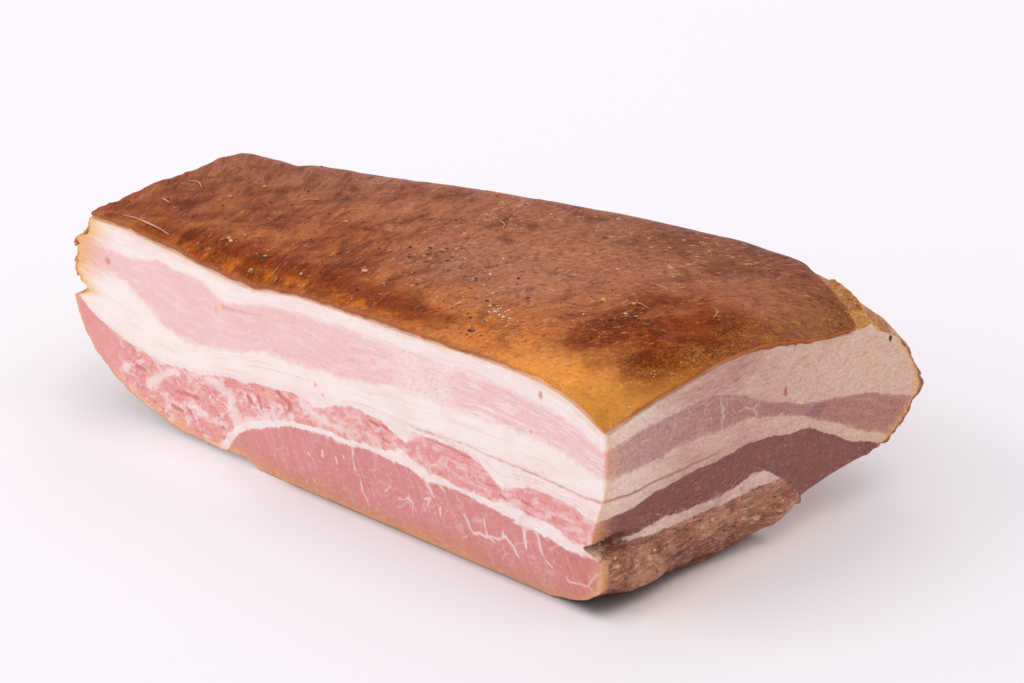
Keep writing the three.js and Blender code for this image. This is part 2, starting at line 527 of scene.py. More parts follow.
@dataclass(frozen=True)
class Veins:
    """Veins and patches of fat in the lean of the two cut faces, and red lines in the long cut."""

    far: float = 4.0
    long_cut: tuple[Vein, ...] = (
        Vein(((-60.2, 19.0), (-59.7, 17.6), (-58.5, 15.8), (-57.1, 13.9)), 1.0, 0.3),
        Vein(((-55.2, 19.2), (-54.9, 18.1), (-53.5, 17.4), (-52.4, 14.9)), 0.5, 0.2),
        Vein(((-60.8, 12.4), (-58.6, 13.4), (-59.3, 11.4), (-59.0, 9.8)), 0.35, 0.25),
        Vein(((-55.1, 11.7), (-54.6, 9.3)), 0.45, 0.3),
        Vein(((-70.4, 9.5), (-68.1, 9.6), (-66.3, 10.8), (-66.6, 13.7)), 0.3, 0.2),
        Vein(((-66.3, 10.5), (-64.8, 10.1), (-64.9, 4.8)), 0.4, 0.15),
        Vein(
            (
                (-46.4, 12.6), (-45.3, 11.5), (-44.3, 9.5), (-42.9, 8.3), (-40.8, 9.3), (-38.7, 8.9),
                (-36.2, 9.7), (-34.2, 9.6), (-32.1, 11.4), (-30.7, 10.5), (-29.3, 9.5), (-28.3, 7.9),
                (-27.3, 7.1),
            ),
            0.38, 0.45,
        ),
        Vein(((-39.4, 14.1), (-39.0, 11.3), (-38.3, 9.3), (-35.9, 8.4)), 0.25, 0.35),
        Vein(((-46.8, 5.7), (-45.4, 6.8)), 0.3, 0.25), Vein(((-33.1, 10.5), (-32.8, 12.6)), 0.35, 0.2),
        Vein(((-25.8, 18.2), (-25.5, 16.5), (-25.2, 13.3), (-24.9, 10.2)), 1.1, 0.25),
        Vein(
            ((-22.3, 17.8), (-20.9, 15.3), (-20.2, 13.0), (-19.5, 11.0), (-18.1, 9.2), (-16.1, 8.2)),
            0.55,
            0.25,
        ),
        Vein(
            (
                (-11.1, 7.2), (-10.4, 6.0), (-8.1, 6.6), (-6.1, 6.7), (-4.2, 6.9), (-2.9, 9.3),
                (-1.3, 11.3), (0.0, 12.0),
            ),
            0.3, 0.35,
        ),
        Vein(((-4.2, 6.9), (-2.5, 6.3)), 0.3, 0.2),
        Vein(((-87.5, 20.6), (-87.1, 16.4), (-86.8, 14.2), (-86.5, 12.5)), 0.4, 0.4),
        Vein(((-99.1, 14.4), (-98.8, 12.4)), 0.4, 0.4), Vein(((-93.7, 14.0), (-93.4, 12.3)), 0.35, 0.45),
        Vein(((-91.3, 15.4), (-90.6, 14.7)), 0.3, 0.3),
        Vein(((-85.3, 12.9), (-84.6, 10.1), (-83.6, 6.8), (-81.4, 3.7)), 0.2, 0.3),
        Vein(((-73.2, 13.8), (-73.7, 11.3), (-75.2, 9.9)), 0.25, 0.35),
        Vein(((-104.7, 11.7), (-104.0, 11.0)), 0.4, 0.3),
        Vein(((-0.5, 9.6), (-0.8, 7.0), (-0.9, 4.2)), 0.5, 0.3),
    )
    patches: tuple[Vein, ...] = (
        Vein(((-145.4, 21.5), (-139.9, 21.2), (-135.5, 18.9), (-134.9, 14.8), (-132.2, 11.9)), 1.3, 2.2),
        Vein(((-132.2, 11.9), (-122.9, 16.6), (-111.4, 20.5)), 1.6, 0.9),
        Vein(((-170.7, 12.7), (-165.0, 16.9), (-158.7, 20.0)), 1.8, 1.0),
        Vein(((-153.1, 19.8), (-149.5, 22.4)), 0.9, 0.7),
        Vein(((-155.1, 11.1), (-149.1, 11.0), (-144.1, 9.5)), 0.7, 0.9),
        Vein(((-106.4, 26.5), (-102.6, 24.7), (-95.6, 23.2), (-89.9, 22.7)), 1.5, 0.9),
        Vein(((-182.1, 14.7), (-177.9, 16.9)), 1.0, 0.6),
    )
    red_lines: tuple[Vein, ...] = (
        Vein(((-64.7, 30.5), (-58.3, 30.3), (-49.4, 30.3), (-46.6, 29.7), (-44.5, 29.6)), 0.25, 0.45),
        Vein(((-76.6, 26.2), (-75.2, 25.0), (-72.9, 24.8)), 0.45, 0.35),
        Vein(((-80.2, 28.9), (-77.3, 28.7)), 0.6, 0.6), Vein(((-75.8, 29.1), (-73.6, 28.4)), 0.5, 0.5),
        Vein(((-159.2, 13.9), (-154.8, 14.3), (-149.7, 14.6)), 0.5, 0.8),
        Vein(((-38.9, 24.3), (-35.1, 24.4)), 0.35, 0.35), Vein(((-33.8, 22.8), (-31.7, 21.8)), 0.5, 0.4),
        Vein(((-26.3, 23.4), (-22.6, 22.9)), 0.5, 0.4), Vein(((-25.3, 20.6), (-21.5, 20.5)), 0.4, 0.3),
        Vein(((-137.4, 45.9), (-130.0, 46.4), (-121.1, 47.7)), 0.6, 0.4),
        Vein(((-128.3, 21.4), (-126.8, 19.7)), 0.8, 0.6), Vein(((-124.2, 22.9), (-123.1, 19.9)), 0.7, 0.7),
        Vein(((-178.3, 16.8), (-172.1, 16.7)), 0.9, 0.6), Vein(((-161.3, 8.9), (-157.0, 8.3)), 0.8, 0.8),
        Vein(((-154.6, 11.2), (-153.1, 8.9)), 0.8, 0.6),
        Vein(((-116.3, 26.5), (-111.2, 24.4), (-112.2, 20.5)), 0.8, 0.8),
        Vein(
            (
                (-67.2, 32.1), (-54.6, 32.6), (-44.1, 33.1), (-38.6, 32.3), (-33.8, 32.4), (-27.0, 32.4),
                (-20.3, 32.1), (-13.7, 31.8), (-7.1, 31.2), (-0.4, 31.5),
            ),
            0.12, 0.42,
        ),
        Vein(((-63.3, 31.9), (-51.1, 32.0), (-44.1, 31.4), (-40.6, 29.7)), 0.25, 0.1),
        Vein(((-33.8, 28.5), (-20.3, 30.1), (-13.6, 29.0), (-3.8, 27.3)), 0.1, 0.2),
        Vein(((-32.1, 29.6), (-23.6, 30.7), (-18.6, 31.0)), 0.12, 0.16),
        Vein(((-126.9, 31.5), (-114.8, 32.9), (-102.9, 33.8)), 0.15, 0.1),
    )
    cut_end: tuple[Vein, ...] = (
        Vein(((39.4, 48.4), (40.2, 45.3), (41.1, 42.8), (40.4, 39.8)), 0.45, 0.55),
        Vein(((42.3, 47.4), (42.0, 45.9), (41.3, 44.4)), 0.3, 0.25),
        Vein(((46.2, 42.1), (48.8, 42.7), (51.4, 41.6), (53.6, 42.0), (54.7, 43.8)), 0.3, 0.4),
        Vein(((53.2, 39.0), (52.2, 41.4)), 0.45, 0.3),
        Vein(((43.6, 43.7), (45.1, 42.7), (44.4, 41.5)), 0.25, 0.25),
        Vein(((48.8, 42.7), (49.8, 44.6)), 0.3, 0.2),
        Vein(((33.2, 49.4), (34.4, 47.1), (33.7, 45.4)), 0.2, 0.25),
        Vein(((35.5, 46.2), (35.9, 44.1)), 0.25, 0.25), Vein(((12.2, 44.6), (15.0, 45.1)), 0.4, 0.45),
        Vein(((8.7, 43.7), (9.7, 44.2)), 0.3, 0.35), Vein(((22.8, 45.2), (23.8, 45.7)), 0.3, 0.3),
        Vein(((28.0, 46.1), (28.7, 46.7)), 0.25, 0.3), Vein(((17.2, 45.1), (18.2, 46.1)), 0.2, 0.25),
        Vein(((51.9, 25.4), (54.0, 22.7), (53.4, 20.8)), 0.25, 0.35),
        Vein(((49.2, 24.5), (51.2, 22.7), (51.7, 20.8)), 0.3, 0.4),
        Vein(((47.0, 19.0), (48.6, 20.5), (50.3, 20.9)), 0.4, 0.3),
        Vein(((27.4, 18.2), (26.2, 20.3), (25.1, 21.3)), 0.5, 0.25),
        Vein(((27.4, 18.5), (29.3, 19.9)), 0.5, 0.2),
        Vein(((17.3, 28.2), (19.5, 25.3), (20.8, 23.0)), 0.3, 0.35),
        Vein(((16.0, 24.7), (17.6, 25.1), (19.3, 23.5)), 0.35, 0.3),
        Vein(((39.4, 25.5), (40.1, 23.2)), 0.15, 0.2), Vein(((43.7, 18.0), (44.9, 20.0)), 0.45, 0.2),
    )

    def depth(self, veins: Sequence[Vein], first: Array, second: Array) -> Array:
        """Find how far inside the nearest vein the points of a face lie.

        Args:
            veins: Veins of that face.
            first: Place along the long cut, or across the cut end.
            second: Height.

        Returns:
            The depth in millimetres, below 0 outside.
        """
        first = first + 0.25 * noise(first / 1.6, second / 1.6, 0.5)
        second = second + 0.25 * noise(first / 1.6, second / 1.6, 5.5)
        deepest = np.full(len(first), -self.far)
        for vein in veins:
            points = np.array(vein.points)
            count = len(points) - 1
            for n, ((a, b), (run, rise)) in enumerate(zip(points, np.diff(points, axis=0))):
                share = np.clip(((first - a) * run + (second - b) * rise) / (run**2 + rise**2), 0.0, 1.0)
                away = np.hypot(first - a - share * run, second - b - share * rise)
                width = lerp(vein.start, vein.end, (n + share) / count)
                deepest = np.maximum(deepest, width - away)
        return deepest


# Node tools


class Graph:
    """A node tree with short calls that add a node, set or link its inputs and hand back its output."""

    def __init__(self, tree: bpy.types.NodeTree) -> None:
        """Keep the tree to add to."""
        self.tree = tree

    def put(self, socket: Socket, value: Socket | float | Sequence[float]) -> None:
        """Link or set one input.

        Args:
            socket: The input.
            value: What to link or set.
        """
        if isinstance(value, bpy.types.NodeSocket):
            self.tree.links.new(value, socket)
        elif socket.type == "RGBA" and len(value) == 3:
            socket.default_value = (*value, 1.0)
        else:
            socket.default_value = value

    def feed(self, node: bpy.types.Node, inputs: dict[str | int, object]) -> None:
        """Link or set several inputs of a node, by name or number."""
        for key, value in inputs.items():
            self.put(node.inputs[key], value)

    def add(
        self, kind: str, inputs: dict[str | int, object] | None = None, **settings: object
    ) -> bpy.types.Node:
        """Add a node.

        Args:
            kind: Its type.
            inputs: Input name or number to link or value.
            settings: Its own settings.

        Returns:
            The node.
        """
        made = self.tree.nodes.new(kind)
        for name, value in settings.items():
            setattr(made, name, value)
        self.feed(made, inputs or {})
        return made

    def math(self, operation: str, *values: Socket | float, clamp: bool = False) -> Socket:
        """Work out one number from others."""
        made = self.add("ShaderNodeMath", dict(enumerate(values)), operation=operation, use_clamp=clamp)
        return made.outputs[0]

    def vector(self, operation: str, first: Socket, second: Socket | Sequence[float]) -> Socket:
        """Work out one vector from two."""
        return self.add("ShaderNodeVectorMath", {0: first, 1: second}, operation=operation).outputs[0]

    def times(self, *values: Socket | float) -> Socket:
        """Multiply numbers."""
        return reduce(lambda first, second: self.math("MULTIPLY", first, second), values)

    def line(self, value: Socket, slope: Socket | float, start: Socket | float) -> Socket:
        """Multiply a number by a slope and add a start."""
        return self.math("MULTIPLY_ADD", value, slope, start)

    def blend(self, share: Socket | float, first: object, second: object, mode: str = "MIX") -> Socket:
        """Mix two colours."""
        inputs = {"Factor": share, 6: first, 7: second}
        return self.add("ShaderNodeMix", inputs, data_type="RGBA", blend_type=mode).outputs[2]

    def ease(self, value: Socket, low: float, high: float, start: float = 0.0, end: float = 1.0) -> Socket:
        """Map a number smoothly from one range to another."""
        inputs = dict(enumerate((value, low, high, start, end)))
        return self.add("ShaderNodeMapRange", inputs, interpolation_type="SMOOTHSTEP").outputs[0]

    def mix(self, share: Socket, first: Socket, second: Socket) -> Socket:
        """Mix two numbers."""
        return self.add("ShaderNodeMix", {"Factor": share, 2: first, 3: second}, data_type="FLOAT").outputs[0]

    def band(self, value: Socket, low: float, high: float, soft: float) -> Socket:
        """Give 1 from low to high and 0 outside."""
        rising = self.ease(value, low - soft, low + soft)
        return self.times(rising, self.ease(value, high + soft, high - soft))

    def spot(self, place: Socket, spot: "Spot", ragged: Socket) -> Socket:
        """Give the share of a small stain at a place.

        Args:
            place: The place, in millimetres.
            spot: The stain.
            ragged: Noise that frays its outline.

        Returns:
            The share.
        """
        off = self.vector("SUBTRACT", place, spot.middle)
        scaled = self.vector("MULTIPLY", off, tuple(1.0 / r for r in spot.reach))
        far = self.add("ShaderNodeVectorMath", {0: scaled}, operation="LENGTH").outputs["Value"]
        return self.ease(self.line(ragged, 1.2, far), 1.8, 1.1, 0.0, spot.strength)

    def stretch(
        self, vector: Socket, size: Sequence[float], turn: float = 0.0, shift: Sequence[float] = (0, 0, 0)
    ) -> Socket:
        """Turn millimetres into lumps of a size.

        Args:
            vector: The place, in millimetres.
            size: Size of a lump along each axis.
            turn: Turn about the upright axis first, in degrees.
            shift: Where the count starts.

        Returns:
            The scaled place.
        """
        inputs = {"Vector": vector, "Angle": math.radians(turn)}
        turned = self.add("ShaderNodeVectorRotate", inputs, rotation_type="Z_AXIS").outputs[0]
        scaled = self.vector("MULTIPLY", turned, tuple(1.0 / s for s in size))
        return self.vector("ADD", scaled, tuple(shift))

    def noise(
        self,
        vector: Socket,
        size: Sequence[float],
        detail: float = 2.0,
        rough: float = 0.5,
        warp: float = 0.0,
        turn: float = 0.0,
        shift: Sequence[float] = (0, 0, 0),
    ) -> Socket:
        """Read noise with lumps of a size.

        Args:
            vector: The place, in millimetres.
            size: Size of a lump along each axis.
            detail: How many finer sizes.
            rough: How strong the finer sizes are.
            warp: How far the place is warped.
            turn: Turn about the upright axis first, in degrees.
            shift: Where the count starts.

        Returns:
            Noise around one half.
        """
        lumps = self.stretch(vector, size, turn, shift)
        inputs = {"Vector": lumps, "Scale": 1.0, "Detail": detail, "Roughness": rough, "Distortion": warp}
        return self.add("ShaderNodeTexNoise", inputs).outputs[0]

    def cells(self, vector: Socket, feature: str = "F1", spread: float = 1.0) -> bpy.types.Node:
        """Read a pattern of cells of one unit."""
        inputs = {"Vector": vector, "Scale": 1.0, "Randomness": spread}
        return self.add("ShaderNodeTexVoronoi", inputs, feature=feature)

    def ramp(self, share: Socket, stops: Sequence[tuple[float, Colour]]) -> Socket:
        """Read a colour band.

        Args:
            share: Place along the band.
            stops: Places and colours.

        Returns:
            The colour.
        """
        made = self.add("ShaderNodeValToRGB", {0: share})
        band = made.color_ramp.elements
        while len(band) < len(stops):
            band.new(0.5)
        for element, (place, colour) in zip(band, stops):
            element.position = place
            element.color = (*colour, 1.0)
        return made.outputs[0]

    def field(self, name: Field) -> Socket:
        """Read a per-vertex value of the mesh."""
        return self.add("ShaderNodeAttribute", attribute_name=name.value).outputs["Fac"]

    def place(self, corner: Sequence[float]) -> Socket:
        """Read the place in millimetres from the near bottom corner, which is given in metres."""
        moved = self.vector("SUBTRACT", self.add("ShaderNodeTexCoord").outputs["Object"], tuple(corner))
        return self.add("ShaderNodeVectorMath", {0: moved, "Scale": 1.0 / MM}, operation="SCALE").outputs[0]

    def join(self, x: Socket, y: Socket, z: Socket) -> Socket:
        """Join three numbers to a vector."""
        return self.add("ShaderNodeCombineXYZ", {0: x, 1: y, 2: z}).outputs[0]

    def axes(self, vector: Socket) -> tuple[Socket, Socket, Socket]:
        """Split a place into its three numbers."""
        split = self.add("ShaderNodeSeparateXYZ", {0: vector})
        return split.outputs[0], split.outputs[1], split.outputs[2]


class Coat:
    """A colour in a node tree that is painted over step by step."""

    def __init__(self, graph: Graph, colour: Socket) -> None:
        """Start with a first colour."""
        self.graph, self.colour = graph, colour

    def paint(self, colour: Socket | Colour, *shares: Socket | float) -> None:
        """Cover it with another colour, by the product of some shares."""
        self.colour = self.graph.blend(self.graph.times(*shares), self.colour, colour)

    def tint(self, tone: Colour, *shares: Socket | float) -> None:
        """Multiply it by a tone, by the product of some shares."""
        self.paint(self.graph.blend(1.0, self.colour, tone, "MULTIPLY"), *shares)


class Effect:
    """A shared shader node group with named inputs and outputs."""

    kinds = {"Place": "NodeSocketVector", "Colour": "NodeSocketColor"}

    def __init__(self, name: str, inputs: Sequence[str], outputs: Sequence[str]) -> None:
        """Make the empty group.

        Args:
            name: The group's name.
            inputs: Names of its inputs.
            outputs: Names of its outputs.
        """
        self.tree = bpy.data.node_groups.new(name, "ShaderNodeTree")
        for way, labels in (("INPUT", inputs), ("OUTPUT", outputs)):
            for label in labels:
                kind = self.kinds.get(label, "NodeSocketFloat")
                self.tree.interface.new_socket(label, in_out=way, socket_type=kind)
        self.graph = Graph(self.tree)
        self.source = self.tree.nodes.new("NodeGroupInput").outputs
        self.sink = self.tree.nodes.new("NodeGroupOutput").inputs

    def out(self, name: str, value: Socket | float) -> None:
        """Feed one output."""
        self.graph.put(self.sink[name], value)

    def use(self, graph: Graph, inputs: dict[str, Socket]) -> bpy.types.NodeOutputs:
        """Place the group in another tree, link its inputs and hand back its outputs."""
        return graph.add("ShaderNodeGroup", inputs, node_tree=self.tree).outputs


SOFT_EDGES = (0.16, 0.2, 0.1, 0.1, 0.1, 0.1, 0.08)
CRISP_EDGES = (0.07, 0.1, 0.07, 0.07, 0.07, 0.06, 0.06)


def layer_band(colours: Sequence[Colour], edges: Sequence[float] = SOFT_EDGES) -> list[tuple[float, Colour]]:
    """Lay colours out as a band with one step for each layer.

    Args:
        colours: One colour a layer, from the rind down.
        edges: Half width of each step.

    Returns:
        Stops for a colour band.
    """
    stops = [(0.0, colours[0])]
    for n, soft in enumerate(edges):
        stops.append(((n + 1 - soft) / len(colours), colours[n]))
        stops.append(((n + 1 + soft) / len(colours), colours[n + 1]))
    return stops


@dataclass(frozen=True)
class Spot:
    """A small stain, or a spot of painted shade, on a cut face: its middle and reach in millimetres, and its
    colour.
    """

    middle: tuple[float, float, float]
    reach: tuple[float, float, float]
    colour: Colour
    strength: float = 0.6


@dataclass(frozen=True)
class CutMeat:
    """Fresh cut fat and lean on the long cut, and the cut end, darker for its drier meat and as painted
    shade.
    """

    fat: Colour = (0.92, 0.825, 0.79)
    deep_fat: Colour = (0.93, 0.835, 0.79)
    stained_fat: Colour = (0.86, 0.6, 0.38)
    pale_lean: Colour = (0.86, 0.57, 0.55)
    streak_lean: Colour = (0.8, 0.41, 0.34)
    red_lean: Colour = (0.79, 0.325, 0.308)
    rosy_lean: Colour = (0.705, 0.275, 0.262)
    deep_red: Colour = (0.62, 0.155, 0.14)
    warm_lean: Colour = (0.86, 0.47, 0.34)
    vein: Colour = (0.91, 0.77, 0.73)
    end_vein: Colour = (0.72, 0.52, 0.43)
    # Cut end colours: darker than those of the long cut, partly for the drier meat and partly as painted
    # shade
    end_fat: Colour = (0.72, 0.475, 0.365)
    end_pale_fat: Colour = (0.92, 0.74, 0.65)
    end_shaded_fat: Colour = (0.54, 0.265, 0.215)
    end_cream_fat: Colour = (0.76, 0.53, 0.39)
    end_pale_lean: Colour = (0.455, 0.21, 0.178)
    end_streak: Colour = (0.5, 0.255, 0.195)
    end_dark_lean: Colour = (0.258, 0.09, 0.072)
    shred: Colour = (0.82, 0.42, 0.29)
    rim: Colour = (0.72, 0.34, 0.12)
    pale_rim: Colour = (0.88, 0.48, 0.13)
    near_rim: Colour = (0.74, 0.36, 0.19)
    spots: tuple[Spot, ...] = (
        Spot((-20.2, 0.0, 54.6), (0.8, 4.0, 1.3), (0.6, 0.08, 0.09)),
        Spot((-100.7, 0.0, 33.3), (0.8, 4.0, 0.8), (0.8, 0.33, 0.08)),
        Spot((-98.1, 0.0, 31.1), (0.6, 4.0, 0.6), (0.8, 0.33, 0.08)),
        Spot((-23.4, 0.0, 43.6), (0.7, 4.0, 0.7), (0.8, 0.33, 0.08)),
        Spot((-137.0, 0.0, 46.1), (0.9, 4.0, 1.4), (0.86, 0.4, 0.07)),
        Spot((-140.0, 0.0, 44.6), (0.7, 4.0, 1.6), (0.86, 0.45, 0.12)),
        Spot((-186.6, 0.0, 46.8), (1.4, 4.0, 1.2), (0.72, 0.16, 0.14)),
        Spot((6.0, 45.1, 51.7), (4.0, 1.5, 0.6), (0.46, 0.12, 0.11), 0.7),
        Spot((8.0, 63.8, 42.8), (4.0, 0.8, 1.7), (0.42, 0.1, 0.09), 0.8),
        # A near-black spot: painted shade in a crack high on the far part of the cut end
        Spot((12.4, 105.1, 45.8), (4.0, 0.7, 1.1), (0.008, 0.007, 0.006), 1.0),
        Spot((9.3, 76.5, 33.5), (4.0, 4.2, 2.0), (0.22, 0.075, 0.08), 0.45),
    )

    def effect(self) -> Effect:
        """Build the node group.

        Returns:
            The group, with colour, roughness, height and the share of fat.
        """
        made = Effect(
            "cut_meat",
            ("Place", "Layer", "Flow", "End", "Rim", "Vein", "Red"),
            ("Colour", "Roughness", "Height", "Fat"),
        )
        g, place, end = made.graph, made.source["Place"], made.source["End"]
        x, y, z = g.axes(place)
        along = g.join(x, y, g.times(made.source["Flow"], 8.0))
        streaks = g.noise(along, (9.0, 9.0, 0.8), 3.0, 0.6, 0.3)
        wobble = g.noise(place, (2.6, 2.6, 1.9), 3.0, 0.6)
        flecks = g.noise(place, (1.5, 1.5, 1.0), 3.0, 0.65)
        blots = g.noise(place, (5.5, 5.5, 3.6), 3.0, 0.6, 0.8, shift=(2, 5, 8))
        cloud = g.noise(place, (16.0, 16.0, 8.0), 2.0, 0.5)
        sway = g.line(end, -0.45, 0.7)
        moved = g.line(g.math("SUBTRACT", wobble, 0.5), sway, made.source["Layer"])
        moved = g.line(streaks, 0.2, moved)
        moved = g.line(flecks, 0.3, g.math("SUBTRACT", moved, 0.25))
        share = g.math("DIVIDE", moved, 8.0)
        white, black = (1.0, 1.0, 1.0), (0.0, 0.0, 0.0)
        fat = g.ramp(share, layer_band((white, black) * 4))
        seam = g.band(moved, 3.0, 4.0, 0.1)
        ended = g.times(seam, end, g.ease(g.line(blots, 16.0, y), 42.0, 56.0))
        fat = g.math("MAXIMUM", fat, ended)
        lean = g.math("SUBTRACT", 1.0, fat, clamp=True)
        fronts = (self.fat, self.pale_lean, self.deep_fat, self.streak_lean)
        fronts += (self.fat, self.red_lean, self.fat, self.rosy_lean)
        ends = (self.end_fat, self.end_pale_lean, self.end_fat, self.end_streak)
        ends += (self.end_fat, self.end_dark_lean, self.end_fat, self.end_dark_lean)
        moist = g.ramp(share, layer_band(fronts))
        coat = Coat(g, g.blend(end, moist, g.ramp(share, layer_band(ends, CRISP_EDGES))))
        fat_tone = g.blend(end, self.fat, self.end_fat)
        fresh = g.math("SUBTRACT", 1.0, end, clamp=True)

        # Upper lean, and the seam that is lost in the fat
        lost = g.math("MAXIMUM", g.times(seam, fresh), ended)
        coat.paint(fat_tone, lost)
        upper = g.band(moved, 1.0, 2.0, 0.12)
        middle = g.band(moved, 5.0, 6.0, 0.1)
        lower = g.ease(moved, 6.95, 7.1)
        crumbled = g.times(g.band(g.line(blots, 16.0, x), -62.0, -42.0, 5.0), upper)
        streaked = g.times(g.ease(streaks, 0.46, 0.66), g.ease(x, -110.0, -30.0, 0.3, 0.85))
        paler = g.math("MAXIMUM", g.times(crumbled, 0.75), g.times(streaked, upper))
        coat.paint(fat_tone, paler, g.line(fresh, 0.65, 0.25))

        # Marbled middle lean, red lines and drawn veins
        bits = g.noise(place, (2.8, 2.8, 1.7), 2.0, 0.6, 1.4, shift=(2, 2, 6))
        seams = g.ease(g.math("ABSOLUTE", g.math("SUBTRACT", bits, 0.5)), 0.035, 0.008, 0.0, 0.55)
        coat.paint(self.streak_lean, crumbled, fresh, seams)
        bend = g.noise(place, (7.0, 7.0, 7.0), 2.0, 0.5)
        bent = g.vector("ADD", place, g.times(bend, 11.0))
        marbled = g.ease(x, -92.0, -116.0, 0.45, 1.0)
        mixed = g.times(middle, fresh, g.ease(x, -192.0, -174.0))
        coat.paint(self.pale_lean, mixed, g.ease(blots, 0.4, 0.64, 0.0, 0.75))
        coat.paint(self.warm_lean, mixed, marbled, g.ease(bend, 0.5, 0.68, 0.0, 0.55))
        coat.paint(self.deep_red, g.ease(flecks, 0.48, 0.32), mixed, marbled, 0.6)
        clots = g.times(g.ease(blots, 0.5, 0.62), g.ease(flecks, 0.36, 0.58))
        coat.paint(fat_tone, clots, mixed, marbled, 0.45)
        bled = g.line(g.math("SUBTRACT", flecks, 0.5), 0.9, made.source["Red"])
        bled = g.times(g.ease(bled, -0.25, 0.4, 0.0, 0.85), g.line(upper, -0.6, 1.0))
        coat.paint(g.blend(lean, self.streak_lean, self.deep_red), bled)
        fray = g.line(middle, 4.5, 0.7)
        veined = g.line(g.math("SUBTRACT", wobble, 0.5), fray, made.source["Vein"])
        sharp = g.times(g.ease(veined, -0.16, 0.24), g.line(fresh, 0.25, 0.55))
        soft = g.times(g.ease(veined, -1.1, 0.9, 0.0, 0.75), fresh)
        coat.paint(g.blend(end, self.vein, self.end_vein), g.mix(middle, sharp, soft), lean)

        # Fine threads, the fibres of the lower lean and the grain of all lean
        web = g.cells(g.stretch(bent, (9.5, 15.0, 8.0)), "DISTANCE_TO_EDGE").outputs["Distance"]
        threads = g.ease(web, 0.06, 0.006)
        some = g.ease(g.noise(place, (9.0, 9.0, 7.0), 1.0, shift=(3, 7, 1)), 0.48, 0.62)
        veins = g.times(threads, some, g.line(middle, 0.35, lower))
        coat.paint(fat_tone, veins, g.line(fresh, 0.22, 0.03))
        slanted = g.join(g.line(z, 0.45, x), y, z)
        fibres = g.noise(slanted, (2.0, 7.0, 16.0), 3.0, 0.6, 0.3)
        coat.paint(self.pale_lean, g.ease(fibres, 0.5, 0.68), lower, fresh, 0.2)
        rich = g.times(g.ease(fibres, 0.48, 0.3), lower, fresh)
        coat.tint((0.86, 0.72, 0.7), rich, 0.35)
        dusky = g.ease(g.line(blots, -6.0, z), 4.5, -3.0, 0.0, 0.65)
        coat.paint((0.58, 0.25, 0.17), dusky, lower, fresh)
        # Vertical bands of duller brownish violet in the lower lean: a painted iridescent sheen
        sheen = g.noise(place, (5.0, 9.0, 26.0), 2.0, 0.6)
        dull = g.times(g.ease(sheen, 0.42, 0.66), lower, fresh)
        coat.paint((0.62, 0.3, 0.25), dull, 0.18)
        ripe = g.times(g.ease(x, -20.0, -4.0, 0.0, 0.9), lower, fresh)
        coat.tint((0.88, 0.74, 0.72), ripe)
        coat.paint(self.stained_fat, g.ease(moved, 0.32, -0.05, 0.0, 0.5), fresh)
        plain = g.ease(x, -160.0, -95.0, 0.45, 1.0)
        grain = g.times(g.ease(flecks, 0.47, 0.3, 0.0, plain), lean)
        coat.tint((0.8, 0.6, 0.57), grain, 0.35)
        coat.paint(fat_tone, g.ease(flecks, 0.56, 0.74, 0.0, plain), lean, 0.28)

        # Lines in the fat, the dry and painted-shaded cut end and the browned edges
        lines = g.noise(along, (30.0, 30.0, 0.8), 2.0, 0.5, shift=(4, 1, 9))
        pink = g.times(g.ease(lines, 0.52, 0.7), fat)
        pink = g.times(pink, g.line(fresh, 0.36, 0.06))
        blush = g.times(g.ease(blots, 0.46, 0.66), fat, g.ease(moved, 3.5, 5.2, 0.12, 0.55))
        pink = g.math("MAXIMUM", pink, blush)
        coat.paint(g.blend(end, self.pale_lean, self.end_pale_lean), pink)
        coat.tint((0.95, 0.88, 0.84), g.ease(cloud, 0.4, 0.68, 0.0, 0.5))
        dry_and_shaded_fat = g.times(fat, end)
        # Painted shade under the rind's edge on the upper fat of the cut end, broken up by cloud noise
        shade_under_rind = g.times(g.band(y, 20.0, 54.0, 12.0), g.ease(moved, 2.0, 0.8, 0.35, 1.0))
        coat.paint(self.end_shaded_fat, shade_under_rind, dry_and_shaded_fat, g.ease(cloud, 0.3, 0.62, 0.25, 1.0))
        coat.paint(self.end_pale_fat, g.ease(y, 32.0, 0.0, 0.0, 0.78), dry_and_shaded_fat)
        coat.paint(self.end_cream_fat, g.ease(y, 62.0, 95.0, 0.0, 0.6), dry_and_shaded_fat)
        coat.paint(self.end_pale_fat, g.band(moved, 6.0, 7.0, 0.1), dry_and_shaded_fat, 0.25)
        brushed = g.noise(place, (8.0, 4.5, 1.2), 4.0, 0.65, 0.8, shift=(3, 9, 2))
        pitted = g.times(g.ease(brushed, 0.48, 0.32, 0.0, 0.75), dry_and_shaded_fat)
        coat.tint((0.84, 0.76, 0.7), pitted)
        coat.paint(self.end_pale_fat, g.ease(brushed, 0.5, 0.8, 0.0, 0.5), dry_and_shaded_fat)
        blush = g.times(g.ease(y, 8.0, 0.0, 0.0, 0.8), lean, end)
        coat.paint((0.72, 0.29, 0.19), blush)
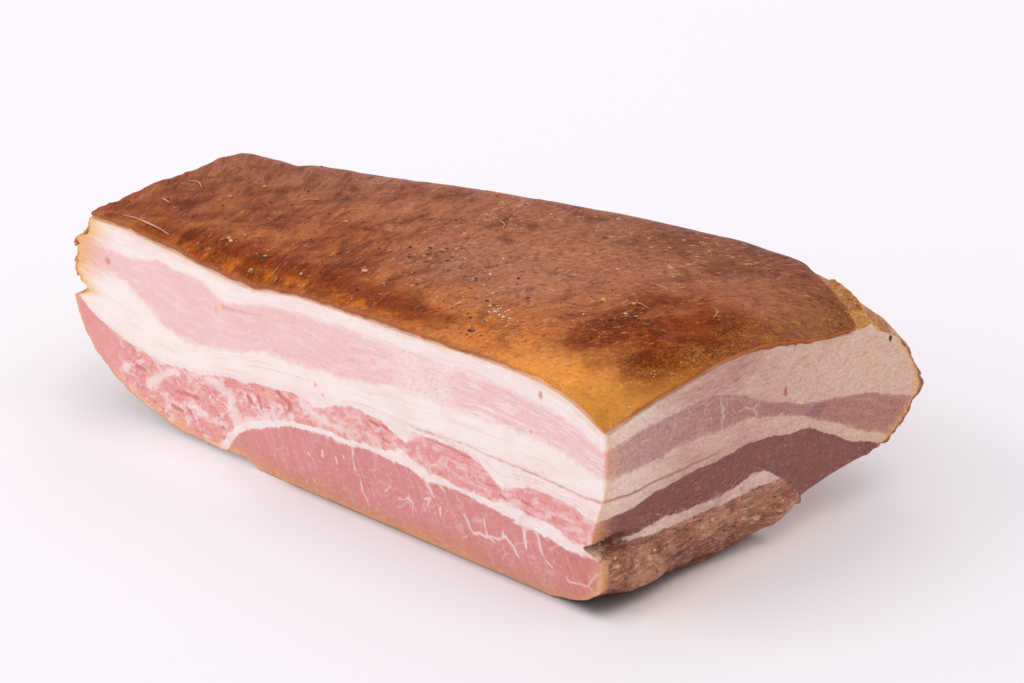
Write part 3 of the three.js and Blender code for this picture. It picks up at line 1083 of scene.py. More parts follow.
        # Painted sheen: the upper lean of the cut end is paler towards the near corner
        painted_light_near = g.times(g.ease(y, 46.0, 0.0, 0.0, 0.48), upper, end)
        coat.paint((0.66, 0.42, 0.39), painted_light_near)
        grains = g.cells(g.stretch(bent, (3.4, 2.8, 1.3), shift=(7, 3, 5)))
        chance = g.axes(grains.outputs["Color"])[0]
        dashes = g.times(g.ease(grains.outputs["Distance"], 0.34, 0.12), g.ease(chance, 0.74, 0.8))
        coat.paint(fat_tone, dashes, lean, end, g.ease(y, 60.0, 20.0, 0.15, 0.45))
        lace = g.stretch(bent, (40.0, 5.0, 3.4), shift=(1, 4, 2))
        lace = g.cells(lace, "DISTANCE_TO_EDGE").outputs["Distance"]
        laced = g.times(upper, g.band(y, 30.0, 54.0, 7.0))
        laced = g.math("MAXIMUM", laced, g.times(middle, g.ease(moved, 5.45, 5.95, 0.05, 0.8)))
        laced = g.times(laced, g.ease(blots, 0.4, 0.6, 0.15, 1.0))
        coat.paint(fat_tone, laced, end, g.ease(lace, 0.06, 0.01, 0.0, 0.45))
        far_lean = g.times(g.ease(y, 62.0, 100.0, 0.0, 0.5), lean, end)
        coat.tint((1.08, 0.95, 0.8), far_lean)
        shred = g.times(g.ease(x, -178.0, -199.0), g.band(z, 41.0, 56.0, 3.0))
        coat.paint(self.shred, shred, fresh, g.ease(streaks, 0.36, 0.54, 0.2, 0.95))
        edge = g.math("MULTIPLY", made.source["Rim"], g.ease(flecks, 0.25, 0.6, 0.55, 1.0), clamp=True)
        brim = g.blend(g.ease(wobble, 0.26, 0.48), self.rim, self.pale_rim)
        beside = g.times(g.ease(x, -40.0, -12.0), fresh)
        coat.paint(g.blend(beside, brim, self.near_rim), edge)
        for spot in self.spots:
            coat.paint(spot.colour, g.spot(place, spot, wobble))
        grit = g.noise(place, (1.0, 1.0, 0.7), 3.0, 0.75, shift=(8, 2, 4))
        worn = g.line(end, g.line(fat, -0.3, 0.9), 0.1)
        dark_grit = g.times(g.ease(grit, 0.5, 0.3), worn)
        coat.tint((0.72, 0.62, 0.58), dark_grit)
        pale_grit = g.times(g.ease(grit, 0.52, 0.72), worn)
        coat.tint((1.22, 1.32, 1.37), pale_grit)

        made.out("Colour", coat.colour)
        made.out("Roughness", g.line(wobble, 0.3, g.line(end, 0.12, 0.22)))
        fine = g.noise(place, (0.55, 0.55, 0.45), 2.0, 0.6)
        rough = g.line(streaks, 0.6, g.times(fine, 0.4))
        rough = g.line(g.times(brushed, end), 1.4, rough)
        made.out("Height", g.line(fat, 0.2, g.math("ADD", rough, flecks)))
        made.out("Fat", fat)
        return made


@dataclass(frozen=True)
class SmokedSide:
    """The dry, smoked outside: golden over fat and brown over lean, with tan fibres, and painted shade in the
    gap over the lobe and towards the floor.
    """

    gold: Colour = (0.46, 0.165, 0.024)
    pale_gold: Colour = (0.72, 0.33, 0.05)
    brown: Colour = (0.325, 0.116, 0.072)
    tan: Colour = (0.62, 0.31, 0.175)
    pale_tan: Colour = (0.74, 0.44, 0.28)
    dark: Colour = (0.092, 0.028, 0.016)
    torn_gold: Colour = (0.8, 0.4, 0.09)
    torn_cream: Colour = (0.83, 0.59, 0.41)
    torn_flesh: Colour = (0.66, 0.3, 0.19)

    def effect(self) -> Effect:
        """Build the node group.

        Returns:
            The group, with colour, roughness and height.
        """
        signs = ("Place", "Fat", "Torn", "Gap")
        made = Effect("smoked_side", signs, ("Colour", "Roughness", "Height"))
        g, place = made.graph, made.source["Place"]
        patches = g.noise(place, (13.0, 13.0, 9.0), 3.0, 0.6, 0.6)
        gold = g.blend(g.ease(patches, 0.4, 0.65), self.gold, self.pale_gold)
        flesh = g.blend(g.ease(patches, 0.46, 0.66, 0.0, 0.75), self.brown, self.tan)
        blurred = g.line(made.source["Fat"], 0.75, g.times(patches, 0.25))
        coat = Coat(g, g.blend(g.ease(blurred, 0.2, 0.75), flesh, gold))
        fibre = g.noise(place, (3.0, 5.0, 0.9), 4.0, 0.68, 0.6)
        crumbs = g.noise(place, (1.3, 1.3, 1.1), 3.0, 0.65, 0.4)
        coat.paint(self.tan, g.ease(fibre, 0.5, 0.68, 0.0, 0.65))
        coat.paint(self.tan, g.ease(crumbs, 0.55, 0.7, 0.0, 0.55))
        coat.paint(self.dark, g.ease(fibre, 0.46, 0.3, 0.0, 0.55))
        coat.paint(self.dark, g.ease(crumbs, 0.42, 0.28, 0.0, 0.5))
        flecks = g.noise(place, (1.3, 2.4, 1.0), 4.0, 0.72, 0.7)
        bright = g.blend(g.ease(patches, 0.4, 0.6), self.tan, self.pale_tan)
        coat.paint(bright, g.ease(flecks, 0.54, 0.64, 0.0, 0.85))
        coat.paint(self.dark, g.ease(flecks, 0.45, 0.34, 0.0, 0.85))
        shreds = g.noise(place, (4.0, 7.0, 2.2), 4.0, 0.65, 0.8, shift=(6, 1, 3))
        torn = g.blend(g.ease(shreds, 0.36, 0.6), self.torn_gold, self.torn_cream)
        torn = g.blend(g.ease(patches, 0.46, 0.62, 0.0, 0.75), torn, self.torn_flesh)
        torn = g.blend(g.ease(fibre, 0.46, 0.34, 0.0, 0.8), torn, self.gold)
        coat.paint(torn, made.source["Torn"], 0.92)
        # Painted shade in the crumbly gap over the lobe
        coat.paint(self.dark, g.math("MULTIPLY", made.source["Gap"], 0.9, clamp=True))
        # Painted shade: the smoked sides darken towards the floor
        height = g.line(patches, 6.0, g.axes(place)[2])
        coat.tint((0.45, 0.38, 0.34), g.ease(height, 12.5, 4.0, 0.0, 0.72))
        made.out("Colour", coat.colour)
        made.out("Roughness", g.ease(fibre, 0.3, 0.7, 0.62, 0.42))
        height = g.line(crumbs, 0.9, g.times(fibre, 1.3))
        made.out("Height", g.line(flecks, 0.8, height))
        return made


@dataclass(frozen=True)
class SmokedRind:
    """The outside of the rind: brown with gold and orange fields, a painted sheen of pale violet-brown
    towards the back, soft pebbles, pores and painted glints.
    """

    red_brown: Colour = (0.29, 0.062, 0.02)
    orange_brown: Colour = (0.47, 0.128, 0.034)
    mauve_sheen: Colour = (0.4, 0.15, 0.08)
    gold: Colour = (0.86, 0.325, 0.06)
    amber: Colour = (0.75, 0.25, 0.05)
    deep_orange: Colour = (0.265, 0.043, 0.006)
    bright_orange: Colour = (0.6, 0.165, 0.014)
    dark: Colour = (0.08, 0.016, 0.005)
    speck: Colour = (0.025, 0.012, 0.008)
    bloom: Colour = (0.64, 0.27, 0.04)
    corner_glint: Colour = (0.97, 0.58, 0.22)
    glint_tone: Colour = (0.74, 0.44, 0.27)
    sheen: Colour = (0.52, 0.245, 0.155)
    lip: Colour = (0.48, 0.165, 0.062)
    fat_edge: Colour = (0.88, 0.62, 0.42)
    end_edge: Colour = (0.64, 0.37, 0.24)

    def effect(self) -> Effect:
        """Build the node group.

        Returns:
            The group, with colour, roughness and height.
        """
        made = Effect("smoked_rind", ("Place", "Rim"), ("Colour", "Roughness", "Height"))
        g, place = made.graph, made.source["Place"]
        x, y, z = g.axes(place)
        broad = g.noise(place, (30.0, 30.0, 30.0), 2.0, 0.5, 0.6)
        patch = g.noise(place, (9.0, 13.0, 13.0), 3.0, 0.55, 0.7, turn=9.0, shift=(5, 2, 0))
        drift = g.line(broad, 60.0, -30.0)
        coat = Coat(g, g.blend(g.ease(patch, 0.36, 0.66), self.red_brown, self.orange_brown))
        # Painted sheen: a pale violet-brown reflection of the surroundings towards the back of the rind
        back = g.ease(g.math("ADD", y, drift), 18.0, 85.0, 0.0, 0.75)
        coat.paint(self.mauve_sheen, back)
        # Painted sheen: a paler violet-pink band across the middle of the rind
        sheen = g.times(g.band(g.line(drift, 0.3, y), 22.0, 58.0, 14.0), g.band(x, -98.0, -44.0, 18.0))
        coat.paint(self.sheen, sheen, 0.42)
        far = g.times(g.ease(y, 62.0, 100.0, 0.0, 0.95), g.ease(x, -130.0, -35.0, 0.3, 1.0))
        coat.tint((0.66, 0.62, 0.58), far)
        along = g.ease(g.math("ADD", x, drift), -105.0, -45.0)
        coat.paint(self.amber, along, g.ease(g.line(drift, 0.35, y), 36.0, 4.0), 0.8)
        ribbon = g.band(g.line(drift, 0.15, y), 1.5, 12.0, 3.0)
        coat.paint(self.deep_orange, ribbon, g.band(g.line(drift, 0.5, x), -165.0, -62.0, 14.0), 0.9)
        bright = g.times(g.band(g.line(drift, 0.08, y), 0.8, 5.0, 1.6), g.band(x, -158.0, -66.0, 16.0))
        coat.paint(self.bright_orange, bright, g.ease(patch, 0.42, 0.6, 0.08, 0.8))
        reach = g.math("SUBTRACT", g.times(x, 0.75), y)
        corner = g.ease(g.line(drift, 0.3, reach), -44.0, -14.0)
        coat.paint(self.gold, corner, 0.95)
        # Painted shade: deep orange-brown over a strip along the right side of the rind
        inward = g.line(y, -0.105, x)
        shaded = g.times(g.band(inward, -34.0, -1.0, 8.0), g.band(y, 16.0, 62.0, 9.0))
        shaded = g.times(shaded, g.ease(patch, 0.68, 0.46, 0.5, 1.0))
        coat.paint(self.deep_orange, shaded)
        calm = g.math("SUBTRACT", 1.0, g.times(corner, 0.75))
        cool = g.times(g.ease(x, -110.0, -170.0, 0.0, 0.7), g.ease(y, 12.0, 24.0))
        coat.tint((0.82, 0.88, 1.0), cool)

        # Grain that runs with the furrows, pebbles and pores, with painted sheen and painted glints
        skew = g.line(x, -0.00467, -0.39)
        grain = g.join(g.line(skew, y, x), y, z)
        mottle = g.noise(grain, (2.4, 13.0, 13.0), 4.0, 0.65, 0.5, shift=(4, 1, 2))
        hair = g.noise(grain, (1.1, 7.0, 7.0), 3.0, 0.6, 0.4)
        pebble = g.noise(grain, (1.2, 1.7, 1.7), 4.0, 0.72, 0.3)
        stains = g.noise(place, (11.0, 15.0, 15.0), 3.0, 0.6, 0.9, turn=-20.0, shift=(1, 8, 3))
        dimmed = (0.5, 0.38, 0.34)
        # Darker stains over the rind, and darker blotches that deepen the painted shade on its right side
        stains_and_shade = g.times(g.ease(stains, 0.5, 0.7, 0.0, 0.7), calm)
        stains_and_shade = g.math("MAXIMUM", stains_and_shade, g.times(g.ease(stains, 0.4, 0.58), shaded, 0.75))
        coat.tint(dimmed, stains_and_shade)
        drawn = g.ease(x, -55.0, -120.0, 0.22, 1.0)
        coat.tint(dimmed, g.ease(mottle, 0.49, 0.32, 0.0, 0.65), calm, drawn)
        # Painted sheen: bluish lighter streaks where the furrow grain runs high
        glow = g.times(g.ease(mottle, 0.53, 0.7, 0.0, 0.8), drawn)
        coat.tint((1.3, 1.45, 1.6), glow)
        coat.tint(dimmed, g.ease(hair, 0.48, 0.3, 0.0, 0.65), drawn)
        crisp = g.ease(x, -190.0, -50.0, 0.35, 1.2)
        crisp = g.times(crisp, g.line(corner, -0.55, 1.0))
        coat.tint(dimmed, g.ease(pebble, 0.49, 0.32, 0.0, 0.8), crisp)
        # Painted glints where the pebble noise runs high
        glint = g.times(g.ease(pebble, 0.54, 0.7, 0.0, 0.85), crisp)
        coat.tint((1.4, 1.5, 1.6), glint)
        cells = g.cells(g.stretch(place, (1.9, 2.4, 2.4), shift=(0.3, 0.2, 0.1)))
        pick = g.axes(cells.outputs["Color"])[0]
        dots = g.times(g.ease(cells.outputs["Distance"], 0.22, 0.11), g.ease(pick, 0.84, 0.88))
        coat.paint(self.speck, dots, calm, g.ease(broad, 0.35, 0.55, 0.35, 0.9))
        pores = g.ease(g.cells(g.stretch(place, (0.95, 1.1, 1.1))).outputs["Distance"], 0.26, 0.1)
        coat.paint(self.dark, pores, calm, 0.25)

        # Crumbly right side, painted glints and the cut edge
        right = g.ease(inward, -15.0, -1.0)
        fuzz = g.noise(place, (0.9, 0.7, 0.7), 3.0, 0.75, 0.8, turn=30.0)
        crumbly = g.times(right, g.ease(patch, 0.35, 0.6, 0.35, 1.0))
        crumbly = g.times(g.ease(fuzz, 0.49, 0.62, 0.0, 0.95), crumbly)
        coat.paint(self.bloom, crumbly)
        # Painted glints of pale gold on the near corner
        coat.paint(self.corner_glint, g.ease(fuzz, 0.54, 0.66, 0.0, 0.6), corner, g.ease(patch, 0.4, 0.58, 0.2, 1.0))
        # Painted glints: small pale flecks over the livelier parts of the rind, golden near the right side
        painted_glints = g.noise(grain, (0.9, 2.0, 2.0), 3.0, 0.7, 0.4, shift=(6, 3, 1))
        lively = g.times(g.ease(mottle, 0.4, 0.6, 0.25, 1.0), g.ease(broad, 0.35, 0.6, 0.45, 1.0))
        painted_glints = g.math("MULTIPLY", g.ease(painted_glints, 0.56, 0.66, 0.0, 0.72), g.times(lively, crisp), clamp=True)
        coat.paint(g.blend(g.ease(inward, -45.0, -12.0), self.glint_tone, self.bloom), painted_glints)
        coat.paint(self.lip, g.ease(g.line(mottle, 2.4, y), 2.7, 1.4, 0.0, 0.6), g.ease(x, -20.0, -45.0))
        near = g.ease(x, -45.0, -18.0)
        rim = made.source["Rim"]
        beside = g.times(near, g.ease(y, 3.0, 12.0))
        cut = g.blend(near, self.lip, g.blend(g.times(beside, 0.8), self.gold, self.orange_brown))
        cut = g.blend(g.ease(pebble, 0.55, 0.3, 0.0, 0.6), cut, g.blend(1.0, cut, dimmed, "MULTIPLY"))
        ragged = g.line(mottle, 0.7, g.math("SUBTRACT", rim, 0.35))
        dry_edge = g.blend(g.ease(y, 34.0, 58.0, 0.0, 0.85), self.end_edge, self.red_brown)
        pale = g.blend(beside, self.fat_edge, dry_edge)
        cut = g.blend(g.ease(ragged, 0.35, 0.8, 0.0, 0.92), cut, pale)
        coat.paint(cut, g.ease(rim, 0.01, 0.3))

        made.out("Colour", coat.colour)
        made.out("Roughness", g.line(crumbly, 0.2, g.ease(patch, 0.35, 0.65, 0.44, 0.28)))
        height = g.line(pebble, 1.0, g.times(hair, 0.8))
        height = g.line(g.times(mottle, drawn), 1.2, height)
        height = g.line(pores, -0.25, height)
        height = g.line(g.times(fuzz, right), 1.5, height)
        made.out("Height", g.times(height, g.ease(rim, 0.08, 0.01, 0.35, 1.0)))
        return made


@dataclass(frozen=True)
class MeatFinish:
    """One finish for the meat: fresh where it was cut and smoked everywhere else."""

    cut: CutMeat = CutMeat()
    side: SmokedSide = SmokedSide()
    subsurface: float = 0.2
    scatter_size: float = 0.0022
    gap_shade: Colour = (0.15, 0.045, 0.024)

    def material(self, corner: Sequence[float]) -> bpy.types.Material:
        """Make the material.

        Args:
            corner: Near bottom corner, in metres.

        Returns:
            The material.
        """
        made, g, shader = new_material("belly_meat")
        place, end = g.place(corner), g.field(Field.END)
        read = (Field.LAYER, Field.FLOW, Field.RIM, Field.VEIN, Field.RED)
        signs = {name.value.title(): g.field(name) for name in read}
        cut = self.cut.effect().use(g, {"Place": place, "End": end, **signs})
        fat = g.times(cut["Fat"], g.line(end, -0.85, 1.0))
        side = self.side.effect().use(
            g, {"Place": place, "Fat": fat, "Torn": g.field(Field.TORN), "Gap": g.field(Field.GAP)}
        )
        ragged = g.noise(place, (1.1, 1.1, 0.9), 2.0, 0.6)
        smoke = g.line(ragged, 0.5, g.math("SUBTRACT", g.field(Field.SMOKE), 0.25))
        smoke = g.ease(smoke, 0.3, 0.7)
        # Painted shade: the crumbly gap over the lobe is darkened
        gap = g.math("MULTIPLY", g.field(Field.GAP), g.ease(ragged, 0.35, 0.55, 0.95, 0.55), clamp=True)
        height = g.mix(smoke, g.times(cut["Height"], 0.3), side["Height"])
        bump = g.add("ShaderNodeBump", {"Height": height, "Strength": 0.6, "Distance": 0.0007})
        inputs = {
            "Base Color": g.blend(gap, g.blend(smoke, cut["Colour"], side["Colour"]), self.gap_shade),
            "Roughness": g.mix(smoke, cut["Roughness"], side["Roughness"]),
            "Normal": bump.outputs[0],
            "Specular IOR Level": 0.3,
            "Subsurface Weight": self.subsurface,
            "Subsurface Radius": (1.0, 0.42, 0.3),
            "Subsurface Scale": self.scatter_size,
        }
        g.feed(shader, inputs)
        return made


@dataclass(frozen=True)
class RindFinish:
    """The rind: its outside, and its cut edge that pales to the fat."""

    skin: SmokedRind = SmokedRind()

    def material(self, corner: Sequence[float]) -> bpy.types.Material:
        """Make the material.

        Args:
            corner: Near bottom corner, in metres.

        Returns:
            The material.
        """
        made, g, shader = new_material("belly_rind")
        skin = self.skin.effect().use(g, {"Place": g.place(corner), "Rim": g.field(Field.RIM)})
        bump = g.add("ShaderNodeBump", {"Height": skin["Height"], "Strength": 0.85, "Distance": 0.0008})
        inputs = {
            "Base Color": skin["Colour"],
            "Roughness": skin["Roughness"],
            "Normal": bump.outputs[0],
            "Specular IOR Level": 0.02,
            "Subsurface Weight": 0.1,
            "Subsurface Radius": (1.0, 0.35, 0.08),
            "Subsurface Scale": 0.002,
        }
        g.feed(shader, inputs)
        return made


@dataclass(frozen=True)
class SpeckFinish:
    """A grain, crumb, fleck or fibre: one tone that drifts from piece to piece."""

    name: str
    dark: Colour
    light: Colour
    roughness: float = 0.6
    drift_size: float = 3.0

    def material(self, corner: Sequence[float]) -> bpy.types.Material:
        """Make the material.

        Args:
            corner: Near bottom corner, in metres.

        Returns:
            The material.
        """
        made, g, shader = new_material(self.name)
        tone = g.noise(g.place(corner), (self.drift_size,) * 3, 3.0, 0.7)
        tone = g.blend(g.ease(tone, 0.35, 0.65), self.dark, self.light)
        g.feed(shader, {"Base Color": tone, "Roughness": self.roughness})
        return made


def new_material(name: str) -> tuple[bpy.types.Material, Graph, bpy.types.Node]:
    """Make a material with its own shader.

    Args:
        name: The material's name.

    Returns:
        The material, its graph and its shader node.
    """
    made = bpy.data.materials.new(name)
    made.use_nodes = True
    made.node_tree.nodes.clear()
    g = Graph(made.node_tree)
    shader = g.add("ShaderNodeBsdfPrincipled")
    g.add("ShaderNodeOutputMaterial", {"Surface": shader.outputs[0]})
    return made, g, shader


# Mesh tools


def read_rows(items: bpy.types.bpy_prop_collection, name: str) -> Array:
    """Read a vector of each vertex, normal or face of a mesh.

    Args:
        items: The vertices, normals or faces.
        name: Which of their vectors.

    Returns:
        One row for each.
    """
    rows = np.empty(len(items) * 3)
    items.foreach_get(name, rows)
    return rows.reshape(-1, 3)


def move_vertices(mesh: bpy.types.Mesh, places: Array) -> None:
    """Put the vertices at new places."""
    mesh.vertices.foreach_set("co", np.ascontiguousarray(places, dtype=np.float32).ravel())
    mesh.update()


def keep_field(mesh: bpy.types.Mesh, name: Field, values: Array) -> None:
    """Store a per-vertex value."""
    made = mesh.attributes.new(name.value, "FLOAT", "POINT")
    made.data.foreach_set("value", np.asarray(values, dtype=np.float32))


def only(piece: bpy.types.Object) -> None:
    """Make one object the only one selected, and the active one.

    Args:
        piece: The object.
    """
    bpy.ops.object.select_all(action="DESELECT")
    piece.select_set(True)
    bpy.context.view_layer.objects.active = piece


def split(mesh: bpy.types.Mesh, kind: str, chosen: Array, cuts: int) -> None:
    """Subdivide some edges or faces of the active mesh.

    Args:
        mesh: The mesh.
        kind: What is chosen: edges or polygons.
        chosen: True for each that is split.
        cuts: Cuts across each edge.
    """
    bpy.context.tool_settings.mesh_select_mode = (False, kind == "edges", kind == "polygons")
    for name in ("vertices", "edges", "polygons"):
        items = getattr(mesh, name)
        items.foreach_set("select", chosen if name == kind else np.zeros(len(items), dtype=bool))
    bpy.ops.object.mode_set(mode="EDIT")
    bpy.ops.mesh.subdivide(number_cuts=cuts)
    bpy.ops.object.mode_set(mode="OBJECT")


def cut_steps(block: bpy.types.Object, axis: int, steps: int) -> None:
    """Subdivide the edges of a block that run along one axis.

    Args:
        block: The block.
        axis: 0, 1 or 2.
        steps: How many parts each edge gets; over 100 it is made in two rounds.
    """
    rounds = [steps] if steps <= 100 else [steps // 2, 2]
    for parts in rounds:
        mesh = block.data
        places = read_rows(mesh.vertices, "co")
        ends = np.empty(len(mesh.edges) * 2, dtype=np.int32)
        mesh.edges.foreach_get("vertices", ends)
        ends = ends.reshape(-1, 2)
        runs = np.abs(places[ends[:, 0]] - places[ends[:, 1]])
        split(mesh, "edges", runs[:, axis] > TINY, parts - 1)


def tubes(name: str, runs: Sequence[tuple[Array, Array]], corner: Array) -> bpy.types.Object:
    """Model thin strands as one curve with a round section, then turn it into a mesh.

    Args:
        name: The piece's name.
        runs: Points in millimetres and radius at each, one pair for each strand.
        corner: Near bottom corner, in metres.

    Returns:
        The piece.
    """
    curve = bpy.data.curves.new(name, "CURVE")
    curve.dimensions = "3D"
    curve.bevel_depth = MM
    curve.bevel_resolution = 1
    curve.use_fill_caps = True
    for path, radius in runs:
        spline = curve.splines.new("POLY")
        spline.points.add(len(path) - 1)
        rows = np.column_stack([path * MM + corner, np.ones(len(path))])
        spline.points.foreach_set("co", rows.ravel())
        spline.points.foreach_set("radius", radius)
    piece = bpy.data.objects.new(name, curve)
    bpy.context.collection.objects.link(piece)
    only(piece)
    bpy.ops.object.convert(target="MESH")
    bpy.ops.object.shade_smooth()
    return bpy.context.object


def dress(piece: bpy.types.Object, materials: Sequence[bpy.types.Material]) -> bpy.types.Object:
    """Give a piece its materials and tie it to the solid.

    Args:
        piece: The piece.
        materials: Its materials, in slot order.

    Returns:
        The piece.
    """
    piece.data.materials.clear()
    for material in materials:
        piece.data.materials.append(material)
    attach(piece, BODY)
    return piece


# Pieces


@dataclass
class MeatBlock:
    """The meat under the rind: a finely stepped block carried to the form, with torn and fibrous relief."""

    form: BellyForm = field(default_factory=BellyForm)
    layers: BellyLayers = field(default_factory=BellyLayers)
    veins: Veins = field(default_factory=Veins)
    steps: tuple[int, int, int] = (180, 80, 78)
    fine_front: tuple[float, float] = (0.46, 0.66)
    fine_end: tuple[float, float, float, float] = (0.05, 0.5, 0.24, 0.84)
    recess: float = 0.25
    front_height: float = 58.0

    def build(self, corner: Array) -> bpy.types.Object:
        """Model the meat.

        Args:
            corner: Near bottom corner, in metres.

        Returns:
            The piece.
        """
        bpy.ops.mesh.primitive_cube_add(size=1.0, location=(0.5, 0.5, 0.5))
        block = bpy.context.object
        block.name = "belly_meat"
        bpy.ops.object.transform_apply(location=True, rotation=True, scale=True)
        for axis in (2, 1, 0):
            cut_steps(block, axis, self.steps[axis])
        self.refine(block)
        shares = np.clip(read_rows(block.data.vertices, "co"), 0.0, 1.0)
        places = self.form.place(*shares.T, drop=self.form.rind_thickness - 0.2)
        move_vertices(block.data, places)
        fields = self.fields(shares, places)
        places = self.relief(shares, places, read_rows(block.data.vertex_normals, "vector"), fields)
        move_vertices(block.data, places * MM + corner)
        for name, values in fields.items():
            keep_field(block.data, name, values)
        only(block)
        bpy.ops.object.shade_smooth_by_angle(angle=math.radians(50.0))
        return block

    def refine(self, block: bpy.types.Object) -> None:
        """Split the faces with fine veins once more.

        Args:
            block: The stepped unit block.
        """
        mesh = block.data
        u, v, w = read_rows(mesh.polygons, "center").T
        near, far, low, high = self.fine_end
        front = (v < TINY) & (u > self.fine_front[0]) & (w < self.fine_front[1])
        end = (u > 1.0 - TINY) & (v > near) & (v < far) & (w > low) & (w < high)
        split(mesh, "polygons", front | end, 1)

    def fields(self, shares: Array, places: Array) -> dict[Field, Array]:
        """Work out what the finish needs to know of each vertex.

        Args:
            shares: Place on the unit block.
            places: Place on the chunk, in millimetres.

        Returns:
            One array for each value.
        """
        u, v, w = shares.T
        x, y, z = places.T
        depth = self.form.back_depth(u)
        top = self.form.top(x, y, depth) - self.form.rind_thickness
        layer, flow = self.layers.value(x, y, z, top)
        ledge = self.form.ledge(y)
        lower = 0.9 * smoothstep(y, 12.0, 22.0)
        lobe = 1.0 - smoothstep(z, ledge - 0.5 - lower, ledge + 0.4 - lower)
        on_end = u > 1.0 - TINY
        on_front = v < TINY
        outside = (u < TINY) | (v > 1.0 - TINY) | (w < TINY)
        hidden = self.form.covered(x + 5.0, y + 5.0, depth) * smoothstep(u, 0.01, 0.04)
        bare = (w > 1.0 - TINY) * np.maximum(1.0 - hidden, smoothstep(v, 0.8, 0.86))
        shown = lobe * lerp(0.5, 1.0, smoothstep(y, 1.0, 4.0))
        smoke = np.where(outside, 1.0, np.where(on_end & ~on_front, shown, bare))
        smoke = np.where(on_front, 0.6 * outside, smoke)
        below, length = w * self.front_height, self.form.front_length
        frayed = lerp(0.9, 4.2 + 2.4 * noise(z / 2.5, 0.5, 3.5), smoothstep(z, 30.0, 36.0))
        browned = 1.5 + 0.9 * noise(x / 9.0, 0.5, 1.5)
        shreds = np.exp(-((u * length / frayed) ** 1.5))
        rim = np.where(on_front, 0.8 * np.exp(-below / browned) + shreds, 0.0)
        frill = np.exp(-(((1.0 - u) * length / 3.2) ** 1.5)) * lobe
        rim = np.where(on_front, rim + 0.85 * frill, rim)
        far = (1.0 - v) * depth
        around = 0.95 * np.exp(-((far / 2.0) ** 1.5)) + 0.42 * np.exp(-v * depth / 3.2) * (1.0 + 0.6 * lobe)
        rim = np.where(on_end, around, rim)
        vein, red = np.full_like(x, -self.veins.far), np.full_like(x, -self.veins.far)
        vein[on_end] = self.veins.depth(self.veins.cut_end, y[on_end], z[on_end])
        face = x[on_front], z[on_front]
        vein[on_front] = self.veins.depth(self.veins.long_cut + self.veins.patches, *face)
        red[on_front] = self.veins.depth(self.veins.red_lines, *face)
        return {
            Field.LAYER: layer,
            Field.FLOW: flow,
            Field.SMOKE: smoke,
            Field.END: np.where(on_end, 1.0 - 0.5 * on_front, 0.0),
            Field.RIM: np.clip(rim, 0.0, 1.0),
            Field.TORN: smoothstep(u, 0.02, 0.0) * smoothstep(z, 30.0, 36.0),
            Field.GAP: np.where(on_end, self.form.gap(y, z), 0.0),
            Field.VEIN: vein,
            Field.RED: red,
        }

    def relief(self, shares: Array, places: Array, normals: Array, fields: dict[Field, Array]) -> Array:
        """Add the fine relief: knife drag, proud fat, torn crags, fibres and swells.

        Args:
            shares: Place on the unit block.
            places: Place on the chunk, in millimetres.
            normals: Direction out of the surface.
            fields: What the finish knows of each vertex.

        Returns:
            The places with the relief added.
        """
        u, v, w = shares.T
        x, y, z = places.T
        smoke, torn = fields[Field.SMOKE], fields[Field.TORN]
        fat = 0.5 + 0.5 * np.sin(np.pi * fields[Field.LAYER])
        lumps = fractal(x / 7.0, y / 7.0, z / 7.0, 3)
        fibre = fractal(x / 4.0, y / 2.4, z / 1.8, 3)
        drag = 0.1 * fractal(x / 5.0, y / 5.0, z / 2.5, 2)
        proud = np.maximum(fat, smoothstep(fields[Field.VEIN], -0.1, 0.3))
        fresh = drag + 0.16 * (proud - 0.5)
        aged = 0.6 * lumps + 0.42 * fibre + 0.7 * (fat - 0.5)
        swell = 1.1 * noise(x / 9.0, y / 9.0, z / 6.0) + 1.3 * noise(x / 17.0, y / 17.0, z / 12.0 + 3.0)
        grit = (0.6 * fractal(x / 3.0, y / 3.6, z / 2.4, 3) + swell) * (u > 1.0 - TINY)
        aged = aged + grit
        crags = 2.4 * np.abs(fractal(x / 6.0, y / 5.0, z / 3.5, 3)) - 0.7
        amount = lerp(fresh, aged, smoke) + torn * crags
        covered = (w > 1.0 - TINY) * self.form.covered(x, y, self.form.back_depth(u))
        amount = amount * (1.0 - covered)
        resting = (normals[:, 2] < -0.5) & (z < 0.6)
        amount = np.where(resting, np.minimum(amount, 0.0) * smoothstep(z, 0.0, 0.6), amount)
        moved = places + normals * amount[:, None]
        moved[:, 0] += torn * (1.5 * noise(y / 2.2, z / 1.7, 0.5) + 0.9 * noise(y / 4.0, z / 3.3, 4.5))
        moved[:, 1] += np.where(v < TINY, self.recess, 0.0)
        bulge = 2.4 * np.exp(-(((y - 15.0) / 9.0) ** 2)) * smoothstep(y, 0.0, 6.0)
        bulge = bulge * (1.0 - smoothstep(z, 9.0, 15.0))
        moved[:, 0] += bulge * smoothstep(u, 0.95, 1.0)
        lift = 3.8 * smoothstep(y, 38.0, 72.0) * (1.0 - 0.7 * smoothstep(y, 76.0, 112.0))
        moved[:, 2] += lift * smoothstep(x, -45.0, -4.0) * (1.0 - w) ** 2
        moved[:, 2] = np.maximum(moved[:, 2], 0.0)
        return moved


